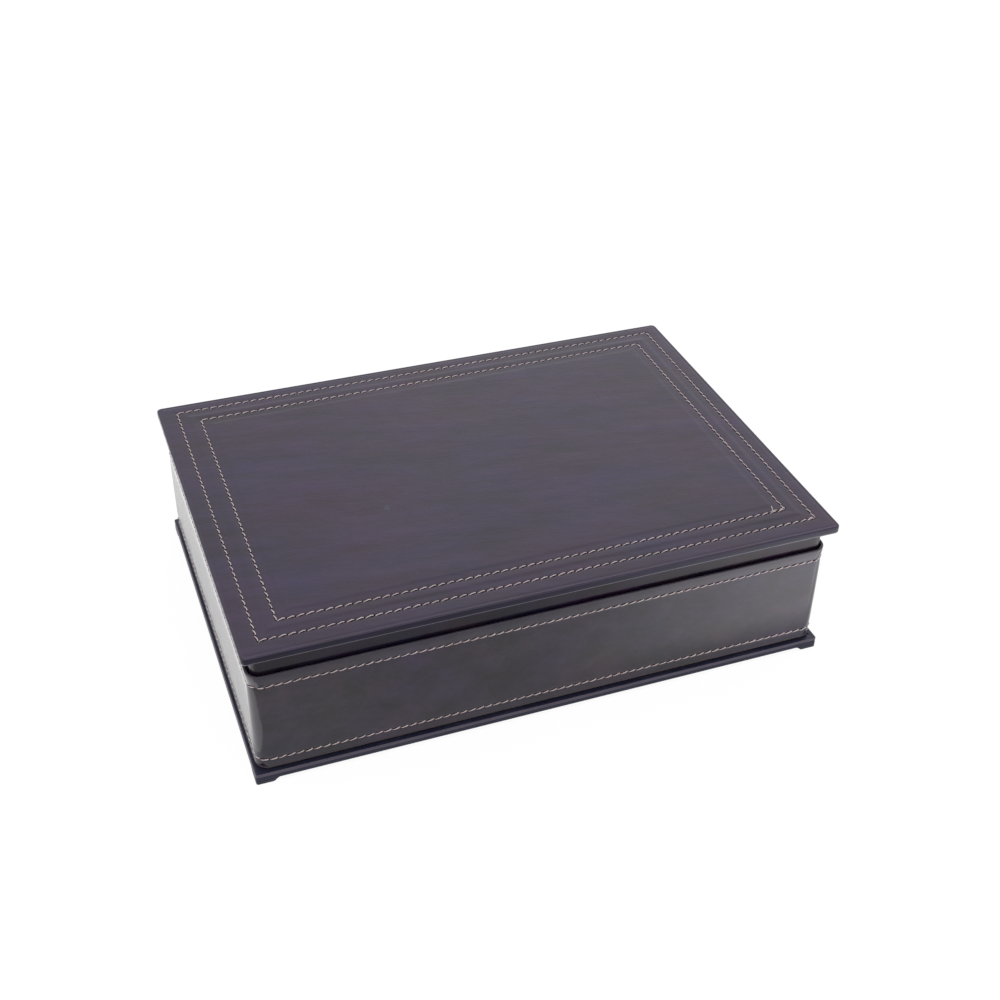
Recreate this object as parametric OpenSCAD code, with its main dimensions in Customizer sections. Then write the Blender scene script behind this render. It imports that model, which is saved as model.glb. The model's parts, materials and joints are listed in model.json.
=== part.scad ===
// Leather-covered stationery box for A4 paper, with a lift-off lid.
// The long side runs along X, the front faces -Y, and the feet stand on z = 0.

/* [Case] */
// Outside length of the case, over its leather
case_l = 334; // [240:1:460]
// Outside depth of the case, front to back
case_w = 237; // [160:1:340]
// Height of the wall boards
wall_h = 63.4; // [35:0.2:140]
// Thickness of the wall boards
wall_t = 6; // [5:0.5:10]
// Rounding of the upright corners, over the leather
corner_r = 7.5; // [5.5:0.5:14]
// Thickness of the leather round the walls
case_leather_t = 1.2; // [1:0.1:2.4]
// How far that leather stands above the wall boards
lip_h = 2.3; // [0.5:0.1:5]
// Shadow gap between that leather and the base
leather_gap = 1; // [0:0.1:3]

/* [Base] */
// How far the base stands out past the left and right walls
base_over_end = 1.8; // [0.5:0.1:8]
// How far the base stands out past the front and back walls
base_over_side = 2.6; // [0.5:0.1:8]
// Thickness of the board inside the base
base_board_t = 3; // [1.6:0.1:8]
// Thickness of the leather folded round the base board
base_leather_t = 0.8; // [0.6:0.1:1.4]
// Rounding of the corners of the base
base_corner_r = 1.5; // [1:0.1:5]
// Rounding of the upper edge of the base
base_edge_r = 0.5; // [0.2:0.1:0.7]
// Width of the leather border left round the felt under the base
felt_border = 14; // [13:0.5:40]

/* [Feet] */
// Height of the corner feet
foot_h = 2.2; // [1:0.1:8]
// Length of the flat sole of a foot, along each edge
foot_flat = 9; // [5:0.5:20]
// Length over which the foot curves up to the base
foot_curve = 3.5; // [2:0.5:12]

/* [Lining] */
// Thickness of the lined boards inside the walls
lining_t = 2; // [1.5:0.1:5]
// How far the lined boards rise above the wall boards
neck_rise = 8; // [3:0.5:12]
// Thickness of the lined pad on the floor
floor_pad_t = 2.3; // [1:0.1:6]
// Thickness of the lined pad under the lid
lid_pad_t = 2.2; // [1.4:0.1:3]
// Gap left round each pad
pad_gap = 0.2; // [0.1:0.1:1]

/* [Lid] */
// How far the lid stands out past the left and right walls
lid_over_end = 3; // [1:0.1:12]
// How far the lid stands out past the front and back walls
lid_over_side = 4.7; // [1:0.1:12]
// Thickness of the board inside the lid
lid_board_t = 3.2; // [2:0.1:8]
// Thickness of the leather folded round the lid board
lid_leather_t = 1; // [0.9:0.1:1.8]
// Rounding of the corners of the lid
lid_corner_r = 3; // [1.5:0.1:6]
// Rounding of the lid's upper and lower edges
lid_edge_r = 0.8; // [0.3:0.1:0.9]

/* [Collar] */
// Height of the collar, from the wall boards to the lid
collar_h = 15.2; // [12:0.2:40]
// Gap between the case leather and the collar
lip_gap = 0.8; // [0.5:0.1:2.5]
// Thickness of the leather round the collar
collar_leather_t = 1; // [0.5:0.1:1.5]
// Running gap between the collar and the lined boards
neck_clearance = 0.3; // [0.2:0.1:0.6]

/* [Stitching] */
// Distance from one stitch to the next on the lid
lid_stitch_pitch = 5; // [4.5:0.1:9]
// Distance from one stitch to the next round the case
case_stitch_pitch = 4.83; // [4.5:0.01:9]
// Length of one stitch
stitch_l = 4.1; // [2:0.1:4.3]
// Width of the thread
thread_w = 0.8; // [0.4:0.1:1]
// Thickness of the thread, from the bottom of its channel
thread_t = 0.65; // [0.5:0.05:1]
// Slant of each stitch to its row, in degrees
stitch_slant = 10; // [0:1:12]
// Width of the channel pressed along each row
channel_w = 1.8; // [1.7:0.1:3]
// Depth of that channel
channel_d = 0.4; // [0.1:0.05:0.5]
// Outer lid row, from the edge of the lid
row_outer = 10.5; // [6:0.5:16]
// Inner lid row, from the edge of the lid
row_inner = 23; // [18:0.1:60]
// How far both lid rows sit towards the right
row_shift_right = 0.6; // [-3:0.1:3]
// How far both lid rows sit towards the back
row_shift_back = 1.2; // [-3:0.1:3]
// Upper case row, down from the top of the leather
row_below_lip = 7.8; // [4:0.1:14]
// Lower case row, up from the bottom of the leather
row_above_base = 6.1; // [4:0.1:14]

/* [Hidden] */
$fn = 48;
overlap = 1;

leather_color = "#4b4752";
edge_color = "#3c3a49";
collar_color = "#3f3a42";
thread_color = "#c9b8b4";
board_color = "#a58a66";
lining_color = "#6f6660";
felt_color = "#2f2d33";

base_l = case_l + 2 * base_over_end;
base_w = case_w + 2 * base_over_side;
base_t = base_board_t + 2 * base_leather_t;
base_board_z = foot_h + base_leather_t;
base_board_top = base_board_z + base_board_t;
base_top = foot_h + base_t;
wall_top = base_top + wall_h;
leather_bottom = base_top + leather_gap;
leather_top = wall_top + lip_h;

wall_outer_l = case_l - 2 * case_leather_t;
wall_outer_w = case_w - 2 * case_leather_t;
wall_outer_r = corner_r - case_leather_t;
wall_inner_l = wall_outer_l - 2 * wall_t;
wall_inner_w = wall_outer_w - 2 * wall_t;
neck_inner_l = wall_inner_l - 2 * lining_t;
neck_inner_w = wall_inner_w - 2 * lining_t;

collar_l = wall_outer_l - 2 * lip_gap;
collar_w = wall_outer_w - 2 * lip_gap;
collar_r = wall_outer_r - lip_gap;
rail_l = collar_l - 2 * collar_leather_t;
rail_w = collar_w - 2 * collar_leather_t;
rail_r = collar_r - collar_leather_t;
rail_inner_l = wall_inner_l + 2 * neck_clearance;
rail_inner_w = wall_inner_w + 2 * neck_clearance;
rail_t = (rail_l - rail_inner_l) / 2;

lid_l = case_l + 2 * lid_over_end;
lid_w = case_w + 2 * lid_over_side;
lid_t = lid_board_t + 2 * lid_leather_t;
lid_bottom = wall_top + collar_h;
lid_top = lid_bottom + lid_t;
lid_board_bottom = lid_bottom + lid_leather_t;

SIDES = ["front", "right", "back", "left"];

// Rectangle with true round corners, centred on the origin
module rounded_rect(l, w, r) {
    square([l - 2 * r, w], center = true);
    square([l, w - 2 * r], center = true);
    for (x = [-1, 1], y = [-1, 1])
        translate([x * (l / 2 - r), y * (w / 2 - r)])
            circle(r);
}

// Band that runs round a rounded rectangle, t wide, inside its outline
module rounded_band(l, w, r, t) {
    difference() {
        rounded_rect(l, w, r);
        rounded_rect(l - 2 * t, w - 2 * t, max(r - t, 0.1));
    }
}

// Rounded edge of a plate: a rod of radius e that runs just inside a rounded rectangle
module edge_rod(l, w, r, e) {
    for (s = [-1, 1]) {
        translate([0, s * (w / 2 - e), 0])
            rotate([0, 90, 0])
                cylinder(h = l - 2 * r, r = e, center = true);
        translate([s * (l / 2 - e), 0, 0])
            rotate([90, 0, 0])
                cylinder(h = w - 2 * r, r = e, center = true);
    }
    for (x = [-1, 1], y = [-1, 1])
        translate([x * (l / 2 - r), y * (w / 2 - r), 0])
            rotate_extrude()
                translate([r - e, 0])
                    intersection() {
                        circle(e);
                        translate([0, -e])
                            square(2 * e);
                    }
}

// Flat plate whose upper edge, and lower edge if both, is rounded by e
module soft_plate(l, w, h, r, e, both = false) {
    low = both ? e : 0;
    linear_extrude(h)
        rounded_rect(l - 2 * e, w - 2 * e, r - e);
    translate([0, 0, low])
        linear_extrude(h - e - low)
            rounded_rect(l, w, r);
    for (z = both ? [e, h - e] : [h - e])
        translate([0, 0, z])
            edge_rod(l, w, r, e);
}

// Turn about Z that takes the front side to the named one, and the sides that it turns lengthways
function side_angle(side) = side == "front" ? 0 : side == "right" ? 90 : side == "back" ? 180 : 270;
function is_end(side) = side == "left" || side == "right";

// Moves what is drawn along X onto the middle of one side of an l by w rectangle
module on_side(side, l, w) {
    rotate(side_angle(side))
        translate([0, -(is_end(side) ? l : w) / 2])
            children();
}

// One of four boards, mitred at 45 degrees, that frame an l by w rectangle
module mitred_board(side, l, w, t, r, h) {
    run = is_end(side) ? w : l;
    linear_extrude(h)
        intersection() {
            rounded_rect(l, w, r);
            on_side(side, l, w)
                polygon([[-run / 2, 0], [run / 2, 0], [run / 2 - t, t], [t - run / 2, t]]);
        }
}

// Point and heading at distance s along a rounded rectangle, from the left end of the front
function run_of(l, r) = l - 2 * r;
function arc_of(r) = r * PI / 2;
function loop_length(l, w, r) = 2 * (run_of(l, r) + run_of(w, r)) + 4 * arc_of(r);
function turn_point(p, a) = [p.x * cos(a) - p.y * sin(a), p.x * sin(a) + p.y * cos(a)];
function side_point(s, l, w, r) =
    s <= run_of(l, r)
        ? [s - run_of(l, r) / 2, -w / 2, 0]
        : let (a = (s - run_of(l, r)) / r * 180 / PI)
            [run_of(l, r) / 2 + r * sin(a), -w / 2 + r - r * cos(a), a];
function loop_point(s, l, w, r, turns = 0) =
    let (leg = run_of(l, r) + arc_of(r))
        s > leg
            ? loop_point(s - leg, w, l, r, turns + 1)
            : let (p = side_point(s, l, w, r), q = turn_point(p, 90 * turns))
                [q.x, q.y, p[2] + 90 * turns];

// Upright row of stitches round the case, with its lowest point of thread at the channel floor
module case_row(z) {
    count = round(loop_length(case_l, case_w, corner_r) / case_stitch_pitch);
    step = loop_length(case_l, case_w, corner_r) / count;
    for (i = [0 : count - 1]) {
        p = loop_point((i + 0.5) * step, case_l, case_w, corner_r);
        translate([p.x, p.y, z])
            rotate(p[2])
                rotate([0, -stitch_slant, 0])
                    translate([-stitch_l / 2, channel_d - thread_t, -thread_w / 2])
                        cube([stitch_l, thread_t, thread_w]);
    }
}

// Channel that the upright rows of stitches lie in
module case_channel(z) {
    translate([0, 0, z - channel_w / 2])
        linear_extrude(channel_w)
            difference() {
                rounded_rect(case_l + overlap, case_w + overlap, corner_r + overlap / 2);
                rounded_rect(case_l - 2 * channel_d, case_w - 2 * channel_d, corner_r - channel_d);
            }
}

// Straight run of stitches along X, centred, on the channel floor
module stitch_run(length) {
    count = floor(length / lid_stitch_pitch);
    step = length / count;
    for (i = [0 : count - 1])
        translate([(i + 0.5) * step - length / 2, 0, 0])
            rotate(stitch_slant)
                translate([-stitch_l / 2, -thread_w / 2, 0])
                    cube([stitch_l, thread_w, thread_t]);
}

// Rectangle of stitches on the lid, at a distance from its edge
module lid_row(inset) {
    row_l = lid_l - 2 * inset;
    row_w = lid_w - 2 * inset;
    translate([row_shift_right, row_shift_back, lid_top - channel_d])
        for (side = SIDES)
            on_side(side, row_l, row_w)
                stitch_run(is_end(side) ? row_w : row_l);
}

// Channel that a row on the lid lies in
module lid_channel(inset) {
    translate([row_shift_right, row_shift_back, lid_top - channel_d])
        linear_extrude(channel_d + overlap)
            difference() {
                square([lid_l - 2 * inset + channel_w, lid_w - 2 * inset + channel_w], center = true);
                square([lid_l - 2 * inset - channel_w, lid_w - 2 * inset - channel_w], center = true);
            }
}

module base_board() {
    color(board_color)
        translate([0, 0, base_board_z])
            linear_extrude(base_board_t)
                rounded_rect(base_l - 2 * base_leather_t, base_w - 2 * base_leather_t,
                    base_corner_r - base_leather_t);
}

// Leather folded over the edges of the base board, open in the middle above and below
module base_leather() {
    color(edge_color)
        difference() {
            translate([0, 0, foot_h])
                soft_plate(base_l, base_w, base_t, base_corner_r, base_edge_r);
            base_board();
            translate([0, 0, base_board_z])
                linear_extrude(base_t)
                    square([wall_inner_l, wall_inner_w], center = true);
            translate([0, 0, foot_h - overlap])
                linear_extrude(base_leather_t + overlap)
                    square([base_l - 2 * felt_border, base_w - 2 * felt_border], center = true);
        }
}

module base_felt() {
    color(felt_color)
        translate([0, 0, foot_h])
            linear_extrude(base_leather_t)
                square([base_l - 2 * (felt_border + pad_gap), base_w - 2 * (felt_border + pad_gap)],
                    center = true);
}

// Side view of a foot: flat sole, then a double curve up to the base
module foot_profile() {
    steps = 10;
    polygon(concat(
        [[0, foot_h], [0, 0]],
        [for (i = [0 : steps])
            [foot_flat + foot_curve * i / steps, foot_h * (1 - cos(180 * i / steps)) / 2]]));
}

// Corner foot, flush with the edges of the base; x and y are -1 or 1
module foot(x, y) {
    reach = foot_flat + foot_curve;
    color(edge_color)
        intersection() {
            linear_extrude(foot_h)
                rounded_rect(base_l, base_w, base_corner_r);
            at_corner(x, y)
                translate([-base_l / 2, -base_w / 2, 0])
                    intersection() {
                        translate([0, reach, 0])
                            rotate([90, 0, 0])
                                linear_extrude(reach)
                                    foot_profile();
                        rotate([90, 0, 90])
                            linear_extrude(reach)
                                foot_profile();
                    }
        }
}

// Mirrors the front left corner to the corner named by two signs
module at_corner(x, y) {
    mirror([x > 0 ? 1 : 0, 0, 0])
        mirror([0, y > 0 ? 1 : 0, 0])
            children();
}

module foot_front_left() {
    foot(-1, -1);
}

module foot_front_right() {
    foot(1, -1);
}

module foot_back_left() {
    foot(-1, 1);
}

module foot_back_right() {
    foot(1, 1);
}

// Wall board on one side, standing on the base
module wall(side) {
    color(board_color)
        translate([0, 0, base_top])
            mitred_board(side, wall_outer_l, wall_outer_w, wall_t, wall_outer_r, wall_h);
}

module front_wall() {
    wall("front");
}

module back_wall() {
    wall("back");
}

module left_wall() {
    wall("left");
}

module right_wall() {
    wall("right");
}

// Band of leather round the walls, with a channel for each row of stitches
module case_leather() {
    color(leather_color)
        difference() {
            translate([0, 0, leather_bottom])
                linear_extrude(leather_top - leather_bottom)
                    rounded_band(case_l, case_w, corner_r, case_leather_t);
            case_channel(leather_top - row_below_lip);
            case_channel(leather_bottom + row_above_base);
        }
}

module case_stitching_top() {
    color(thread_color)
        case_row(leather_top - row_below_lip);
}

module case_stitching_bottom() {
    color(thread_color)
        case_row(leather_bottom + row_above_base);
}

// Lined board against one wall; its upper part is the neck that the collar slides over
module lining(x, y) {
    along = x == 0 ? wall_inner_l : wall_inner_w - 2 * lining_t;
    color(lining_color)
        translate([x * (wall_inner_l - lining_t) / 2, y * (wall_inner_w - lining_t) / 2, base_board_top])
            linear_extrude(wall_top + neck_rise - base_board_top)
                square(x == 0 ? [along, lining_t] : [lining_t, along], center = true);
}

module front_lining() {
    lining(0, -1);
}

module back_lining() {
    lining(0, 1);
}

module left_lining() {
    lining(-1, 0);
}

module right_lining() {
    lining(1, 0);
}

module floor_pad() {
    color(lining_color)
        translate([0, 0, base_board_top])
            linear_extrude(floor_pad_t)
                square([neck_inner_l - 2 * pad_gap, neck_inner_w - 2 * pad_gap], center = true);
}

module lid_board() {
    color(board_color)
        translate([0, 0, lid_board_bottom])
            linear_extrude(lid_board_t)
                rounded_rect(lid_l - 2 * lid_leather_t, lid_w - 2 * lid_leather_t,
                    lid_corner_r - lid_leather_t);
}

// Leather drawn over the lid board and turned under as far as the collar
module lid_leather() {
    color(leather_color)
        difference() {
            translate([0, 0, lid_bottom])
                soft_plate(lid_l, lid_w, lid_t, lid_corner_r, lid_edge_r, both = true);
            lid_board();
            translate([0, 0, lid_bottom - overlap])
                linear_extrude(lid_leather_t + overlap)
                    square([rail_inner_l, rail_inner_w], center = true);
            lid_channel(row_outer);
            lid_channel(row_inner);
        }
}

module lid_stitching_outer() {
    color(thread_color)
        lid_row(row_outer);
}

module lid_stitching_inner() {
    color(thread_color)
        lid_row(row_inner);
}

module lid_pad() {
    color(lining_color)
        translate([0, 0, lid_board_bottom - lid_pad_t])
            linear_extrude(lid_pad_t)
                square([rail_inner_l - 2 * pad_gap, rail_inner_w - 2 * pad_gap], center = true);
}

// Rail of the collar on one side, glued under the lid
module collar_rail(side) {
    color(board_color)
        translate([0, 0, wall_top])
            mitred_board(side, rail_l, rail_w, rail_t, rail_r, collar_h);
}

module collar_front() {
    collar_rail("front");
}

module collar_back() {
    collar_rail("back");
}

module collar_left() {
    collar_rail("left");
}

module collar_right() {
    collar_rail("right");
}

module collar_leather() {
    color(collar_color)
        translate([0, 0, wall_top])
            linear_extrude(collar_h)
                rounded_band(collar_l, collar_w, collar_r, collar_leather_t);
}

base_board();
base_leather();
base_felt();
foot_front_left();
foot_front_right();
foot_back_left();
foot_back_right();
front_wall();
back_wall();
left_wall();
right_wall();
case_leather();
case_stitching_top();
case_stitching_bottom();
front_lining();
back_lining();
left_lining();
right_lining();
floor_pad();
lid_board();
lid_leather();
lid_stitching_outer();
lid_stitching_inner();
lid_pad();
collar_front();
collar_back();
collar_left();
collar_right();
collar_leather();
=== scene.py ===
"""Looks of a leather-covered stationery box, dressed over its fixed CAD frame.

Lengths are metres in the frame's own axes: X runs along the box, the front faces -Y, Z is up.
"""

import json
import logging
import math
from collections.abc import Sequence
from dataclasses import dataclass, field
from enum import Enum

import bpy
import numpy as np
from mathutils import Matrix, Vector

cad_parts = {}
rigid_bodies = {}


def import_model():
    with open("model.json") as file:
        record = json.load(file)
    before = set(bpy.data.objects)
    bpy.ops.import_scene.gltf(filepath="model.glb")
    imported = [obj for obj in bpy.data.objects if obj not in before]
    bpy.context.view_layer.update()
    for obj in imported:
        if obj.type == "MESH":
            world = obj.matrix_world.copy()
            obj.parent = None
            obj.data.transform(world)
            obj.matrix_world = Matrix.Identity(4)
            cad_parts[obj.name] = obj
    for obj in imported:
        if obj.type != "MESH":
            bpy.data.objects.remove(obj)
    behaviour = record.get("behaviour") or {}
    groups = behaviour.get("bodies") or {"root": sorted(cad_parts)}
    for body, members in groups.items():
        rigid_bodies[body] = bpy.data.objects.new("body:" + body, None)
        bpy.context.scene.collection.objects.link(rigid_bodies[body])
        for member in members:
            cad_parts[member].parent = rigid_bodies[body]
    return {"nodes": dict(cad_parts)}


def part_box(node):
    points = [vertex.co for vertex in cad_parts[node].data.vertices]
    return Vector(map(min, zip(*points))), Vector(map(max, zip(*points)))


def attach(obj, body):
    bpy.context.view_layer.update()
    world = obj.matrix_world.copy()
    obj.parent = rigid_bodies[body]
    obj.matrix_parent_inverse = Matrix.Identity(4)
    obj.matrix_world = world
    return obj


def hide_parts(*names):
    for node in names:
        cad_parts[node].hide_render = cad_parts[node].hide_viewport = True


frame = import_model()

log = logging.getLogger("stationery_box")

Socket = bpy.types.NodeSocket
Point = tuple[float, float, float]
Inputs = dict[str | int, object]

MM = 0.001
# Least corner radius, and the play left round what a cover goes round
SHARP = 0.25 * MM
CLEAR = 0.2 * MM
CASE, LID = "case", "lid"


class Side(Enum):
    """The four sides of a rectangle, in the order a seam runs round it; the value is the turn in degrees."""

    FRONT = 0
    RIGHT = 90
    BACK = 180
    LEFT = 270


class Facing(Enum):
    """Which way the outside of a stitched seam looks."""

    UP = "up"
    OUTWARD = "outward"


def tone(red: int, green: int, blue: int) -> tuple[float, float, float, float]:
    """Turns a colour as seen on screen into the linear values that a shader takes.

    Args:
        red: Red from 0 to 255.
        green: Green from 0 to 255.
        blue: Blue from 0 to 255.

    Returns:
        Linear red, green, blue and an alpha of 1.
    """
    parts = [c / 255 for c in (red, green, blue)]
    linear = [c / 12.92 if c <= 0.04045 else ((c + 0.055) / 1.055) ** 2.4 for c in parts]
    return (*linear, 1.0)


def smooth_step(x: float) -> float:
    """Eases from 0 to 1 as x goes from -1 to 1."""
    t = min(1.0, max(0.0, (x + 1) / 2))
    return t * t * (3 - 2 * t)


def hump(x: float) -> float:
    """A bell that is 1 at x = 0 and dies away by x = 2."""
    return math.exp(-x * x)


# Node trees


def add_node(
    tree: bpy.types.NodeTree, kind: str, inputs: Inputs | None = None, **settings: object
) -> bpy.types.Node:
    """Adds a node to a tree, sets its properties, and fills or links its inputs.

    Args:
        tree: Tree to add to.
        kind: Blender's node type.
        inputs: Values or sockets by an input's identifier, name or number.
        **settings: Properties of the node.

    Returns:
        The new node.
    """
    node = tree.nodes.new(kind)
    for key, value in settings.items():
        setattr(node, key, value)
    for key, value in (inputs or {}).items():
        socket = next((s for s in node.inputs if s.identifier == key), None) or node.inputs[key]
        if isinstance(value, Socket):
            tree.links.new(value, socket)
        else:
            socket.default_value = value
    return node


class Graph:
    """A material's node tree, with short ways to add the nodes that the finishes share."""

    def __init__(self, name: str) -> None:
        """Starts an empty material.

        Args:
            name: Name of the material.
        """
        self.material = bpy.data.materials.new(name)
        self.material.use_nodes = True
        self.tree = self.material.node_tree
        self.tree.nodes.clear()
        self.output = self.tree.nodes.new("ShaderNodeOutputMaterial")
        self._place: Socket | None = None

    def add(self, kind: str, inputs: Inputs | None = None, **settings: object) -> bpy.types.Node:
        """Adds a node to the material, as add_node does."""
        return add_node(self.tree, kind, inputs, **settings)

    def place(self) -> Socket:
        """Object coordinates, in metres.

        Returns:
            The coordinates.
        """
        if self._place is None:
            self._place = self.add("ShaderNodeTexCoord").outputs["Object"]
        return self._place

    def stretched(self, scale: Sequence[float], turn: float = 0.0) -> Socket:
        """Object coordinates that draw a pattern out along the axes of small scale.

        Args:
            scale: Scale along each axis.
            turn: How far the pattern is turned about Z, in degrees.

        Returns:
            The coordinates.
        """
        turned = self.add(
            "ShaderNodeVectorRotate",
            {"Vector": self.place(), "Angle": math.radians(-turn)},
            rotation_type="Z_AXIS",
        )
        mapped = self.add("ShaderNodeMapping", {"Vector": turned.outputs[0], "Scale": tuple(scale)})
        return mapped.outputs["Vector"]

    def tint(self, scale: float, detail: float, vector: Socket, rough: float) -> Socket:
        """Noise in three separate channels, each from 0 to 1.

        Args:
            scale: Cells a metre.
            detail: Octaves of finer noise.
            vector: Coordinates.
            rough: Share that each finer octave keeps.

        Returns:
            The noise as a colour.
        """
        node = self.add(
            "ShaderNodeTexNoise", {"Vector": vector, "Scale": scale, "Detail": detail, "Roughness": rough}
        )
        return node.outputs["Color"]

    def varied(self, noise: Socket, amount: float) -> Socket:
        """A vector about 1 that swings with a three-channel noise.

        Args:
            noise: The noise.
            amount: How far it swings.

        Returns:
            The vector.
        """
        node = self.add(
            "ShaderNodeVectorMath",
            {0: noise, 1: (4 * amount,) * 3, 2: (1 - 2 * amount,) * 3},
            operation="MULTIPLY_ADD",
        )
        return node.outputs[0]

    def product(self, a: Socket, b: Sequence[float]) -> Socket:
        """Two vectors multiplied channel by channel."""
        return self.add("ShaderNodeVectorMath", {0: a, 1: tuple(b)}, operation="MULTIPLY").outputs[0]

    def scaled(self, a: Socket, by: Socket) -> Socket:
        """A vector times a number."""
        return self.add("ShaderNodeVectorMath", {0: a, "Scale": by}, operation="SCALE").outputs[0]

    def noise(
        self, scale: float, detail: float = 2.0, vector: Socket | None = None, rough: float = 0.5
    ) -> Socket:
        """Noise from 0 to 1.

        Args:
            scale: Cells a metre.
            detail: Octaves of finer noise.
            vector: Coordinates, or None for the object's own.
            rough: Share that each finer octave keeps.

        Returns:
            The noise.
        """
        node = self.add(
            "ShaderNodeTexNoise",
            {"Vector": vector or self.place(), "Scale": scale, "Detail": detail, "Roughness": rough},
        )
        return node.outputs["Fac"]

    def cells(
        self, scale: float, vector: Socket | None = None, feature: str = "F1", output: str = "Distance"
    ) -> Socket:
        """One output of a cell pattern.

        Args:
            scale: Cells a metre.
            vector: Coordinates, or None for the object's own.
            feature: Which feature of the cells is found.
            output: Name of the output.

        Returns:
            The output.
        """
        node = self.add(
            "ShaderNodeTexVoronoi", {"Vector": vector or self.place(), "Scale": scale}, feature=feature
        )
        return node.outputs[output]

    def math(
        self, operation: str, a: Socket | float, b: Socket | float = 0.0, c: Socket | float = 0.0
    ) -> Socket:
        """The result of a Math node."""
        return self.add("ShaderNodeMath", {0: a, 1: b, 2: c}, operation=operation).outputs[0]

    def band(
        self, value: Socket, low: float, high: float, to_low: float = 0.0, to_high: float = 1.0
    ) -> Socket:
        """A value smoothly remapped to another range, and held at its ends outside.

        Args:
            value: Value to remap.
            low: Where the range starts.
            high: Where the range ends.
            to_low: Result at the start.
            to_high: Result at the end.

        Returns:
            The remapped value.
        """
        node = self.add(
            "ShaderNodeMapRange",
            {"Value": value, "From Min": low, "From Max": high, "To Min": to_low, "To Max": to_high},
            interpolation_type="SMOOTHSTEP",
        )
        return node.outputs["Result"]

    def blend(
        self, share: Socket | float, a: Socket | Sequence[float], b: Socket | Sequence[float]
    ) -> Socket:
        """Colour a changed towards colour b by share."""
        return self.add("ShaderNodeMix", {0: share, 6: a, 7: b}, data_type="RGBA").outputs[2]

    def parts(self, vector: Socket) -> list[Socket]:
        """The three components of a vector."""
        return list(self.add("ShaderNodeSeparateXYZ", {0: vector}).outputs)

    def spot(self, x: float, y: float, wide: float, deep: float) -> Socket:
        """A soft mark on a level surface.

        Args:
            x: Middle of the mark along X.
            y: Middle of the mark along Y.
            wide: Half its width.
            deep: Half its depth.

        Returns:
            A mask from 0 to 1.
        """
        px, py, _ = self.parts(self.place())
        dx = self.math("DIVIDE", self.math("SUBTRACT", px, x), wide)
        dy = self.math("DIVIDE", self.math("SUBTRACT", py, y), deep)
        far = self.math("ADD", self.math("MULTIPLY", dx, dx), self.math("MULTIPLY", dy, dy))
        ragged = self.math("ADD", far, self.math("MULTIPLY", self.noise(700, 3), 0.9))
        return self.band(ragged, 0.35, 1.5, 1.0, 0.0)

    def bump(self, height: Socket, strength: float, depth: float, under: Socket | None = None) -> Socket:
        """A normal bent by a height.

        Args:
            height: Height from 0 to 1.
            strength: Share of the effect.
            depth: Metres that a height of 1 stands for.
            under: Normal to start from, or None for the mesh's own.

        Returns:
            The bent normal.
        """
        inputs: Inputs = {"Height": height, "Strength": strength, "Distance": depth}
        if under is not None:
            inputs["Normal"] = under
        return self.add("ShaderNodeBump", inputs).outputs["Normal"]

    def surface(
        self, color: Socket, roughness: Socket | float, normal: Socket, **sockets: float | tuple
    ) -> bpy.types.Material:
        """Closes the graph with a principled shader.

        Args:
            color: Base colour.
            roughness: Roughness.
            normal: Bent normal.
            **sockets: Uniform values by input name, with underscores for spaces.

        Returns:
            The finished material.
        """
        inputs: Inputs = {"Base Color": color, "Roughness": roughness, "Normal": normal}
        inputs.update({key.replace("_", " "): value for key, value in sockets.items()})
        shader = self.add("ShaderNodeBsdfPrincipled", inputs)
        self.tree.links.new(shader.outputs[0], self.output.inputs["Surface"])
        return self.material


# Finishes


@dataclass(frozen=True)
class SeamMark:
    """Needle holes and the pressed channel of one rectangular seam on the lid, where the leather gets painted
    shade.
    """

    half_l: float
    half_w: float
    centre_x: float
    centre_y: float
    step_l: float
    step_w: float


def level_seam(graph: Graph, seam: SeamMark) -> tuple[Socket, Socket]:
    """Masks of a rectangular seam on a level surface, where painted shade darkens the leather.

    Args:
        graph: Graph to add to.
        seam: Where the seam runs and how far its holes are apart.

    Returns:
        A mask of the needle holes and a mask of the pressed channel, both for painted shade.
    """
    px, py, _ = graph.parts(graph.place())
    x = graph.math("SUBTRACT", px, seam.centre_x)
    y = graph.math("SUBTRACT", py, seam.centre_y)
    over_x = graph.math("SUBTRACT", graph.math("ABSOLUTE", x), seam.half_l)
    over_y = graph.math("SUBTRACT", graph.math("ABSOLUTE", y), seam.half_w)
    away = graph.math("ABSOLUTE", graph.math("MAXIMUM", over_x, over_y))
    channel = graph.band(away, 0.3 * MM, 1.5 * MM, 1.0, 0.0)
    on_end = graph.math("GREATER_THAN", over_x, over_y)
    along_l = graph.math("DIVIDE", graph.math("ADD", x, seam.half_l), seam.step_l)
    along_w = graph.math("DIVIDE", graph.math("ADD", y, seam.half_w), seam.step_w)
    reach_l = graph.math("MULTIPLY", graph.math("PINGPONG", along_l, 0.5), seam.step_l)
    reach_w = graph.math("MULTIPLY", graph.math("PINGPONG", along_w, 0.5), seam.step_w)
    reach = graph.math(
        "ADD",
        graph.math("MULTIPLY", reach_w, on_end),
        graph.math("MULTIPLY", reach_l, graph.math("SUBTRACT", 1.0, on_end)),
    )
    squares = graph.math("ADD", graph.math("POWER", reach, 2.0), graph.math("POWER", away, 2.0))
    far = graph.math("SQRT", squares)
    return graph.band(far, 0.35 * MM, 0.85 * MM, 1.0, 0.0), channel


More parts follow.
